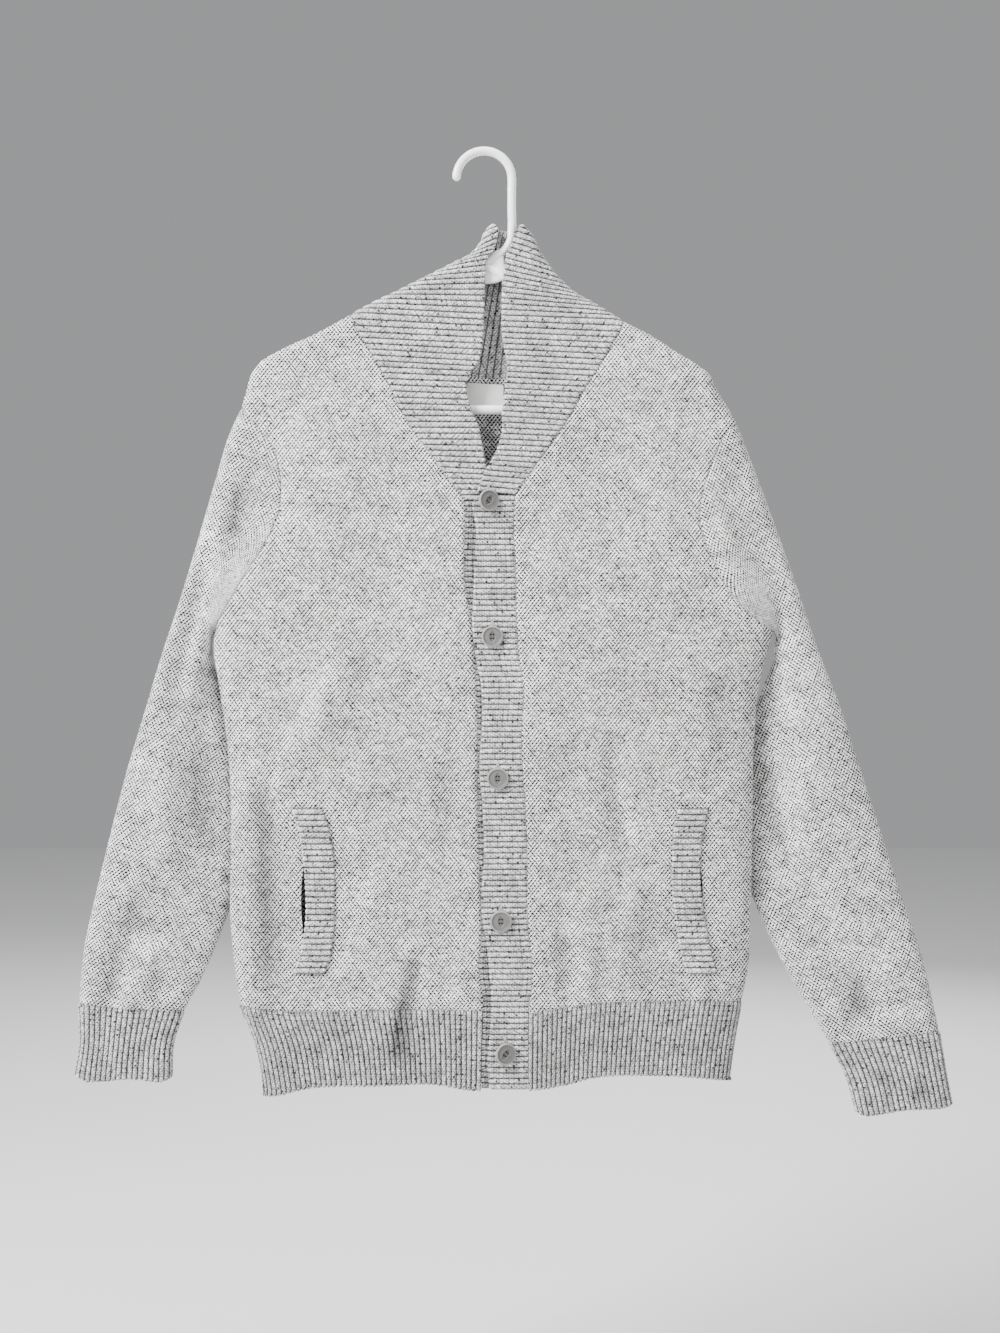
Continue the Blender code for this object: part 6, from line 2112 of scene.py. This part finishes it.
@dataclass
class Nodes:
    """Adds shader nodes to a tree.

    Args:
        tree: the node tree.
    """

    tree: bpy.types.NodeTree

    def feed(self, inputs: bpy.types.NodeInputs, values: dict[object, object]) -> None:
        """Link or set inputs.

        Args:
            inputs: inputs of a node.
            values: a value or number for each input, by its name or place.
        """
        for key, value in values.items():
            if isinstance(value, Wire):
                self.tree.links.new(value.socket, inputs[key])
            else:
                inputs[key].default_value = value

    def add(self, kind: str, values: dict[object, object], output: object = 0,
            **settings: object) -> Wire:
        """Add a node and feed it.

        Args:
            kind: its type without the ShaderNode prefix.
            values: what its inputs get.
            output: name or place of the wanted output.
            settings: properties to set on it.

        Returns:
            The wanted output.
        """
        node = self.tree.nodes.new("ShaderNode" + kind)
        node.location = (200 * len(self.tree.nodes), 0)
        for key, value in settings.items():
            setattr(node, key, value)
        self.feed(node.inputs, values)
        return Wire(self, node.outputs[output])

    def math(self, operation: str, *values: object, clamp: bool = False) -> Wire:
        """A Math node on up to three values."""
        return self.add("Math", dict(enumerate(values)), operation=operation, use_clamp=clamp)

    def length(self, x: Wire, y: Wire) -> Wire:
        """Length of a flat vector."""
        return self.math("SQRT", x.spread(x, y * y))

    def step(self, value: Wire, low: float, high: float) -> Wire:
        """Ease from 0 at low to 1 at high."""
        limits = {"Value": value, "From Min": low, "From Max": high}
        return self.add("MapRange", limits, "Result", interpolation_type="SMOOTHSTEP")

    def mix(self, factor: object, first: object, second: object, blend: str = "MIX") -> Wire:
        """Mix two colours."""
        colours = {0: factor, 6: first, 7: second}
        return self.add("Mix", colours, 2, data_type="RGBA", blend_type=blend)

    def tint(self, colour: object, shade: Wire) -> Wire:
        """A colour times a shade."""
        return self.mix(1.0, colour, self.pair(shade, shade, shade), "MULTIPLY")

    def pair(self, x: object, y: object, z: object = 0.0) -> Wire:
        """A vector from its parts."""
        return self.add("CombineXYZ", {0: x, 1: y, 2: z})

    def place(self) -> Wire:
        """Place on the object."""
        return self.add("TexCoord", {}, "Object")

    def cloth(self) -> tuple[Wire, Wire]:
        """Cloth coordinates, across and along."""
        parts = self.add("SeparateXYZ", {0: self.add("UVMap", {}, uv_map=UV_NAME)})
        return parts, Wire(self, parts.socket.node.outputs[1])

    def chance(self, vector: Wire) -> Wire:
        """White noise from 0 to 1 at a place."""
        return self.add("TexWhiteNoise", {"Vector": vector}, "Value", noise_dimensions="3D")

    def noise(self, vector: Wire, scale: float) -> Wire:
        """Soft noise about 0.5 at a place."""
        return self.add("TexNoise", {"Vector": vector, "Scale": scale, "Detail": 2.0}, "Fac")

    def bump(self, height: Wire, strength: object, distance: float) -> Wire:
        """Normals of a relief."""
        return self.add("Bump", {"Height": height, "Strength": strength, "Distance": distance})


# The knit. A TONE is the span and start of a factor, and an EDGE is where a shape fades.
MARL_INPUTS = {
    "Wale": 0.0036, "Course": 0.0023, "Flecks": 0.03, "Gap": 0.8, "Rib": 0.0, "Groove": 0.0,
    "Light": (0.6, 0.6, 0.6, 1.0), "Dark": (0.1, 0.1, 0.1, 1.0), "Relief": 0.5,
}
SWAY_SCALE, SWAY = 60.0, 0.5
TURN_SEED, TURNED_SHARE = 9.0, 0.36
DASH_LENGTH, DASH_WIDTH = 0.88, 0.5
DASH_EDGE = (1.35, 0.55)
DASH_TONE = (0.6, 0.8)
LOT_SEED, LOT_TONE = 5.0, (0.8, 0.6)
NEP_EDGE, NEP_DARKNESS = (0.5, 0.15), 0.85
STREAKS, STREAK_TONE = (9.0, 90.0), (0.5, 0.75)
FUZZ_SCALE, FUZZ_TONE = 600.0, (1.0, 0.5)
CLOUD_SCALE, CLOUD_TONE = 48.0, (0.9, 0.55)
# Painted shade in crease troughs and painted highlight on their ridges: span and start, then the
# limits
FOLD_SHADE_TONE, FOLD_SHADE_LOW, FOLD_HIGHLIGHT_HIGH = (160.0, 1.0), 0.42, 1.12
# Painted shade in narrow hollows, from ambient occlusion
OCCLUSION_SHADE_TONE = (0.55, 0.45)
# Where the painted shade in the grooves between ribs fades
GROOVE_SHADE_EDGE = (0.26, 0.48)
STITCH_RELIEF = 0.9 * MM


def marl_group() -> bpy.types.NodeTree:
    """Knit of a light yarn with dark gaps between its stitches.

    The cloth is a lattice of cells, one wale wide and one course high, with every other course
    shifted by half a wale. Each cell holds one dark dash: an ellipse about the cell's middle,
    turned by 45 degrees to the right in two cells of three and to the left in the rest, and uneven
    from cell to cell. A few cells hold a dark nep. Each cell has its own tone, and slow streaks run
    along the courses. Painted shade darkens crease troughs, narrow hollows and the ribs' grooves,
    and a painted highlight lightens crease ridges.

    Returns:
        The group.
    """
    tree = bpy.data.node_groups.new("knit_marl", "ShaderNodeTree")
    for label, value in MARL_INPUTS.items():
        kind = "NodeSocketFloat" if isinstance(value, float) else "NodeSocketColor"
        tree.interface.new_socket(label, in_out="INPUT", socket_type=kind).default_value = value
    for label, kind in (("Color", "NodeSocketColor"), ("Normal", "NodeSocketVector")):
        tree.interface.new_socket(label, in_out="OUTPUT", socket_type=kind)
    nodes = Nodes(tree)
    sockets = tree.nodes.new("NodeGroupInput").outputs
    given = {socket.name: Wire(nodes, socket) for socket in sockets}
    place = nodes.place()
    u, v = nodes.cloth()
    sway = nodes.noise(place, SWAY_SCALE) - 0.5
    down = sway.spread(SWAY, v / given["Course"])
    row = down.floor()
    across = sway.spread(SWAY, u / given["Wale"])
    across = nodes.math("FLOORED_MODULO", row, 2.0).spread(0.5, across)
    column = across.floor()
    turned = nodes.math("LESS_THAN", nodes.chance(nodes.pair(row, column, TURN_SEED)), TURNED_SHARE)
    x = (across.fract() - 0.5) * (given["Wale"] / given["Course"]) * turned.spread(-2.0, 1.0)
    y = down.fract() - 0.5
    rising, aside = (x + y) / DASH_LENGTH, (x - y) / DASH_WIDTH
    dash = nodes.step(aside.spread(aside, rising * rising), *DASH_EDGE)
    strength = nodes.chance(nodes.pair(column, row)).spread(*DASH_TONE)
    gap = nodes.math("MULTIPLY", dash * strength, given["Gap"], clamp=True)
    lot = nodes.chance(nodes.pair(row, column, LOT_SEED))
    nep = nodes.math("LESS_THAN", lot, given["Flecks"]) * nodes.step(x.spread(x, y * y), *NEP_EDGE)
    colour = nodes.mix(nep * NEP_DARKNESS, given["Light"], given["Dark"])
    slow = nodes.noise(nodes.pair(u * STREAKS[0], v * STREAKS[1]), 1.0)
    # Painted shade in crease troughs and painted highlight on their ridges
    fold = nodes.add("Attribute", {}, "Fac", attribute_name=FOLD_SHADE_NAME).spread(*FOLD_SHADE_TONE)
    fold = nodes.math("MINIMUM", nodes.math("MAXIMUM", fold, FOLD_SHADE_LOW), FOLD_HIGHLIGHT_HIGH)
    # Painted shade in narrow hollows
    occlusion_shade = nodes.add("AmbientOcclusion", {"Distance": OCCLUSION_SHADE_REACH}, "AO", samples=4)
    tone = lot.spread(*LOT_TONE) * slow.spread(*STREAK_TONE)
    tone = tone * nodes.noise(place, FUZZ_SCALE).spread(*FUZZ_TONE)
    tone = tone * nodes.noise(place, CLOUD_SCALE).spread(*CLOUD_TONE)
    tone = tone * fold * occlusion_shade.spread(*OCCLUSION_SHADE_TONE)
    # Painted shade in the grooves between ribs
    rib_groove_shade = nodes.step(abs((u * given["Rib"]).fract() - 0.5), *GROOVE_SHADE_EDGE) * given["Groove"]
    shade = tone * (1.0 - gap) * (1.0 - rib_groove_shade)
    normal = nodes.bump(1.0 - dash, given["Relief"], STITCH_RELIEF)
    result = tree.nodes.new("NodeGroupOutput").inputs
    nodes.feed(result, {"Color": nodes.tint(colour, shade), "Normal": normal})
    return tree


def new_material(name: str) -> tuple[bpy.types.Material, Nodes, bpy.types.NodeInputs]:
    """Start a material.

    Args:
        name: its name.

    Returns:
        The material, its nodes and the inputs of its Principled shader.
    """
    made = bpy.data.materials.new(name)
    made.use_nodes = True
    return made, Nodes(made.node_tree), made.node_tree.nodes["Principled BSDF"].inputs


@dataclass(frozen=True)
class KnitFinish:
    """A knitted finish.

    Args:
        name: name of the material.
        light: linear tone of the light yarn.
        dark: linear tone of the dark yarn.
        wale: width of a stitch.
        course: height of a stitch.
        pitch: spacing of the ribs, or none on a plain knit.
        flecks: share of stitches with a dark nep.
        gap: how dark the gaps between stitches are.
        groove: how much painted shade darkens the grooves between ribs.
        relief: strength of the stitches' relief.
    """

    name: str
    light: float
    dark: float = 0.08
    wale: float = 3.6 * MM
    course: float = 2.3 * MM
    pitch: Optional[float] = None
    flecks: float = 0.02
    gap: float = 0.9
    groove: float = 0.0
    relief: float = 0.5

    def make(self, group: bpy.types.NodeTree) -> bpy.types.Material:
        """Build the material.

        Args:
            group: the knit's node group.

        Returns:
            The material.
        """
        made, nodes, shader = new_material(self.name)
        colour = nodes.add("Group", {}, "Color", node_tree=group)
        knit = colour.socket.node
        nodes.feed(knit.inputs, {
            "Wale": self.wale, "Course": self.course, "Flecks": self.flecks, "Gap": self.gap,
            "Rib": 1.0 / self.pitch if self.pitch else 0.0, "Groove": self.groove,
            "Relief": self.relief,
            "Light": (self.light, self.light * 0.985, self.light * 0.98, 1.0),
            "Dark": (self.dark, self.dark * 0.98, self.dark * 0.98, 1.0),
        })
        nodes.feed(shader, {
            "Base Color": colour, "Normal": Wire(nodes, knit.outputs["Normal"]), "Roughness": 0.92,
            "Specular IOR Level": 0.2, "Sheen Weight": 0.15, "Sheen Roughness": 0.5,
        })
        return made


@dataclass(frozen=True)
class PlainFinish:
    """A plain finish with faint mottling.

    Args:
        name: name of the material.
        colour: linear colour.
        roughness: roughness.
        mottle: how strong the mottling is.
        scale: scale of the mottling.
        coat: weight of a clear coat.
    """

    name: str
    colour: tuple[float, float, float]
    roughness: float
    mottle: float = 0.1
    scale: float = 400.0
    coat: float = 0.0

    def make(self) -> bpy.types.Material:
        """Build the material.

        Returns:
            The material.
        """
        made, nodes, shader = new_material(self.name)
        cloud = nodes.noise(nodes.place(), self.scale) * (2 * self.mottle) + (1 - self.mottle)
        nodes.feed(shader, {
            "Base Color": nodes.tint((*self.colour, 1.0), cloud), "Roughness": self.roughness,
            "Coat Weight": self.coat, "Coat Roughness": 0.15,
        })
        return made


@dataclass(frozen=True)
class ButtonFinish:
    """A grey button: painted highlight on the rim, painted shade in the ring where the dish meets
    it, in the recess and in the holes.

    Args:
        name: name of the material.
        colour: linear colour of the dish.
        rim: where the rim's painted highlight begins and is full, as shares of the radius.
        ring: middle and half width of the ring of painted shade, as shares of the radius.
        hole_shade: where a hole's painted shade begins and is full, from its middle.
    """

    name: str
    colour: tuple[float, float, float]
    rim: tuple[float, float] = (0.82, 0.9)
    ring: tuple[float, float] = (0.78, 0.08)
    hole_shade: tuple[float, float] = (1.05 * MM, 0.7 * MM)

    def make(self) -> bpy.types.Material:
        """Build the material.

        Returns:
            The material.
        """
        made, nodes, shader = new_material(self.name)
        x, z = nodes.cloth()
        radius = nodes.length(x, z) / BUTTON_RADIUS
        # Painted highlight on the rim; painted shade in the ring, the recess and the holes
        rim = nodes.step(radius, *self.rim) * 1.1
        ring = nodes.math("MAXIMUM", 1.0 - abs((radius - self.ring[0]) / self.ring[1]), 0.0) * 0.45
        lens = abs(x) / BUTTON_LENS[0] + nodes.math("POWER", abs(z) / BUTTON_LENS[1], 2.0)
        recess = nodes.step(lens, 1.0, 0.75) * 0.35
        cloud = nodes.noise(nodes.place(), 300.0) * 0.3 + 0.85
        from_hole = nodes.length(abs(x) - BUTTON_HOLE[0], abs(z) - BUTTON_HOLE[1])
        hole_shade = nodes.step(from_hole, *self.hole_shade) * 0.85
        shade = (rim + 1.0 - (ring + recess)) * cloud * (1.0 - hole_shade)
        nodes.feed(shader, {"Base Color": nodes.tint((*self.colour, 1.0), shade), "Roughness": 0.5})
        return made


@dataclass(frozen=True)
class WovenFinish:
    """The label's plain weave.

    Args:
        name: name of the material.
        colour: linear colour.
        pitch: spacing of its threads.
    """

    name: str
    colour: tuple[float, float, float]
    pitch: float = 0.5 * MM

    def make(self) -> bpy.types.Material:
        """Build the material.

        Returns:
            The material.
        """
        made, nodes, shader = new_material(self.name)
        turns = 2 * math.pi / self.pitch
        warp, weft = (nodes.math("SINE", axis * turns) for axis in nodes.cloth())
        weave = warp * weft
        nodes.feed(shader, {
            "Base Color": nodes.tint((*self.colour, 1.0), weave * 0.03 + 0.97),
            "Normal": nodes.bump(weave, 0.4, 0.2 * MM), "Roughness": 0.7,
        })
        return made


BODY_KNIT = KnitFinish("body_knit", 0.71, flecks=0.03, gap=1.0)
# Rib knits: name, light tone, wale, pitch, flecks, gap, and the painted shade in the rib grooves
HEM_KNIT, CUFF_KNIT, BAND_KNIT, UNDER_BAND_SHADED_KNIT, COLLAR_KNIT, WELT_KNIT = (
    KnitFinish(name + "_rib_knit", light, 0.08, wale * MM, 2.3 * MM, pitch, flecks, gap, groove)
    for name, light, wale, pitch, flecks, gap, groove in (
        ("hem", 0.56, 2.5, HEM_PITCH, 0.04, 0.6, 0.85),
        ("cuff", 0.63, 2.45, CUFF_PITCH, 0.04, 0.6, 0.85),
        ("band", 0.72, 2.5, BAND_PITCH, 0.03, 0.55, 0.8),
        # The under band's knit, darker than the band's: painted shade under the upper band
        ("under", 0.42, 2.5, BAND_PITCH, 0.03, 0.6, 0.85),
        ("collar", 0.70, 2.5, COLLAR_PITCH, 0.03, 0.55, 0.8),
        ("welt", 0.66, 2.7, WELT_PITCH, 0.03, 0.55, 0.8),
    )
)
BUTTON_FINISH = ButtonFinish("button_grey", (0.118, 0.115, 0.112))
THREAD_FINISH = PlainFinish("buttonhole_thread", (0.42, 0.41, 0.41), 0.9)
# Near black: painted shade inside the buttonhole slits
SLIT_SHADE_FINISH = PlainFinish("buttonhole_slit", (0.02, 0.02, 0.02), 1.0)
LABEL_FINISH = WovenFinish("label_weave", (0.86, 0.86, 0.84))
HANGER_FINISH = PlainFinish("hanger_plastic", (0.93, 0.93, 0.93), 0.22, 0.01, 60.0, 0.3)


@dataclass(frozen=True)
class Lamp:
    """A soft area light aimed at the garment.

    Args:
        name: its name.
        place: where it stands.
        size: its side.
        watts: its power.
    """

    name: str
    place: tuple[float, float, float]
    size: float
    watts: float

    def make(self, aim: Array) -> None:
        """Add the light.

        Args:
            aim: the place it shines at.
        """
        data = bpy.data.lights.new(self.name, "AREA")
        data.shape, data.size, data.energy = "SQUARE", self.size, self.watts
        made = link(self.name, data)
        made.location = self.place
        made.rotation_euler = (Vector(aim) - Vector(self.place)).to_track_quat("-Z", "Y").to_euler()


@dataclass(frozen=True)
class Studio:
    """Floor, light and camera.

    Args:
        floor: height of the floor.
        lamps: the lights.
        air: brightness of the pale surroundings.
        centre: what the camera looks at.
        distance: how far off the camera stands.
        tall: height of the frame at the garment.
    """

    floor: float = -1.32
    lamps: tuple[Lamp, ...] = (
        Lamp("key", (-1.75, -1.35, 1.05), 1.0, 236.0),
        Lamp("fill", (1.5, -2.1, -0.3), 1.8, 14.0),
        Lamp("top", (0.4, -0.6, 1.6), 1.2, 48.0),
        Lamp("back", (0.6, 2.4, 0.6), 1.8, 60.0),
    )
    air: float = 0.36
    centre: tuple[float, float, float] = (0.0149, 0.0, -0.4757)
    distance: float = 1.5
    tall: float = 1.24

    def make(self) -> None:
        """Build the stage."""
        u, v = np.meshgrid(np.linspace(-6.0, 6.0, 3), np.linspace(-6.0, 6.0, 3))
        mesh = bpy.data.meshes.new("floor")
        points = np.stack([u, v, np.full(u.shape, self.floor)], -1).reshape(-1, 3)
        index = np.arange(9).reshape(3, 3)
        faces = np.stack([index[:-1, :-1], index[:-1, 1:], index[1:, 1:], index[1:, :-1]], -1)
        mesh.from_pydata(points.tolist(), [], faces.reshape(-1, 4).tolist())
        mesh.materials.append(PlainFinish("floor_pale", (0.82, 0.82, 0.82), 0.85, 0.01, 3.0).make())
        link("floor", mesh)
        world = bpy.data.worlds.new("pale")
        world.use_nodes = True
        ground = world.node_tree.nodes["Background"].inputs
        ground["Color"].default_value = (0.97, 0.98, 1.0, 1.0)
        ground["Strength"].default_value = self.air
        bpy.context.scene.world = world
        for lamp in self.lamps:
            lamp.make(np.array(self.centre))
        self.camera()

    def camera(self) -> None:
        """Put the camera in front of the garment, level, at its middle."""
        data = bpy.data.cameras.new("camera")
        data.sensor_fit, data.sensor_width = "AUTO", 36.0
        data.lens = data.sensor_width * self.distance / self.tall
        made = link("camera", data)
        made.location = (self.centre[0], -self.distance, self.centre[2])
        made.rotation_euler = (math.pi / 2, 0.0, 0.0)
        bpy.context.scene.camera = made


def main() -> None:
    """Build every piece in order, then the stage."""
    group = marl_group()
    knits = (BODY_KNIT, HEM_KNIT, CUFF_KNIT, BAND_KNIT, UNDER_BAND_SHADED_KNIT, COLLAR_KNIT, WELT_KNIT)
    body, hem, cuff, band, under, collar, welt = ([finish.make(group)] for finish in knits)
    Hanger().make([HANGER_FINISH.make()])
    Front("right_front", "knit body", (0.262, 0.66), 0.128, RIGHT_FIELD, Side.RIGHT).make(body)
    Front("left_front", "knit body", (0.262, 0.66), 0.120, LEFT_FIELD, Side.LEFT).make(body)
    Back("back", "knit body", (0.53, 0.66), 0.3, BACK_FIELD).make(body)
    for side, area in zip(Side, SLEEVE_AREAS):
        name = side.name.lower()
        Sleeve(name + "_sleeve", "knit body", SLEEVE_FLAT, area, side).make(body)
        Cuff(name + "_cuff", "knit rib", (0.21, 0.066), None, side).make(cuff)
        Welt(name + "_pocket_welt", "knit rib", (0.026, 0.155), None, side).make(welt)
    Hem("right_hem_rib", "knit rib", (0.235, 0.073), None, RIGHT_FIELD, HEM_HALF_RIBS,
        Side.RIGHT, None, Side.RIGHT).make(hem)
    Hem("left_hem_rib", "knit rib", (0.215, 0.073), None, LEFT_FIELD, HEM_HALF_RIBS,
        None, Side.LEFT, Side.LEFT).make(hem)
    Hem("back_hem_rib", "knit rib", (0.47, 0.073)).make(hem)
    Collar("shawl_collar", "knit rib", (0.16, 0.55), 0.065).make(collar)
    # The button band takes the darker knit: painted shade under the upper band
    Band("button_band", "knit rib", (0.035, 0.541), None, Side.RIGHT, UNDER_BAND_TOP).make(under)
    Band("buttonhole_band", "knit rib", (0.038, 0.546), None, Side.LEFT, UPPER_BAND_TOP).make(band)
    Buttonholes().make([THREAD_FINISH.make(), SLIT_SHADE_FINISH.make()])
    Label().make([LABEL_FINISH.make()])
    button = [BUTTON_FINISH.make()]
    for number, (across, height, turn, tip) in enumerate(BUTTONS, start=1):
        Button(number, across, height, turn, tip).make(button)
    Studio().make()


if __name__ == "__main__":
    main()
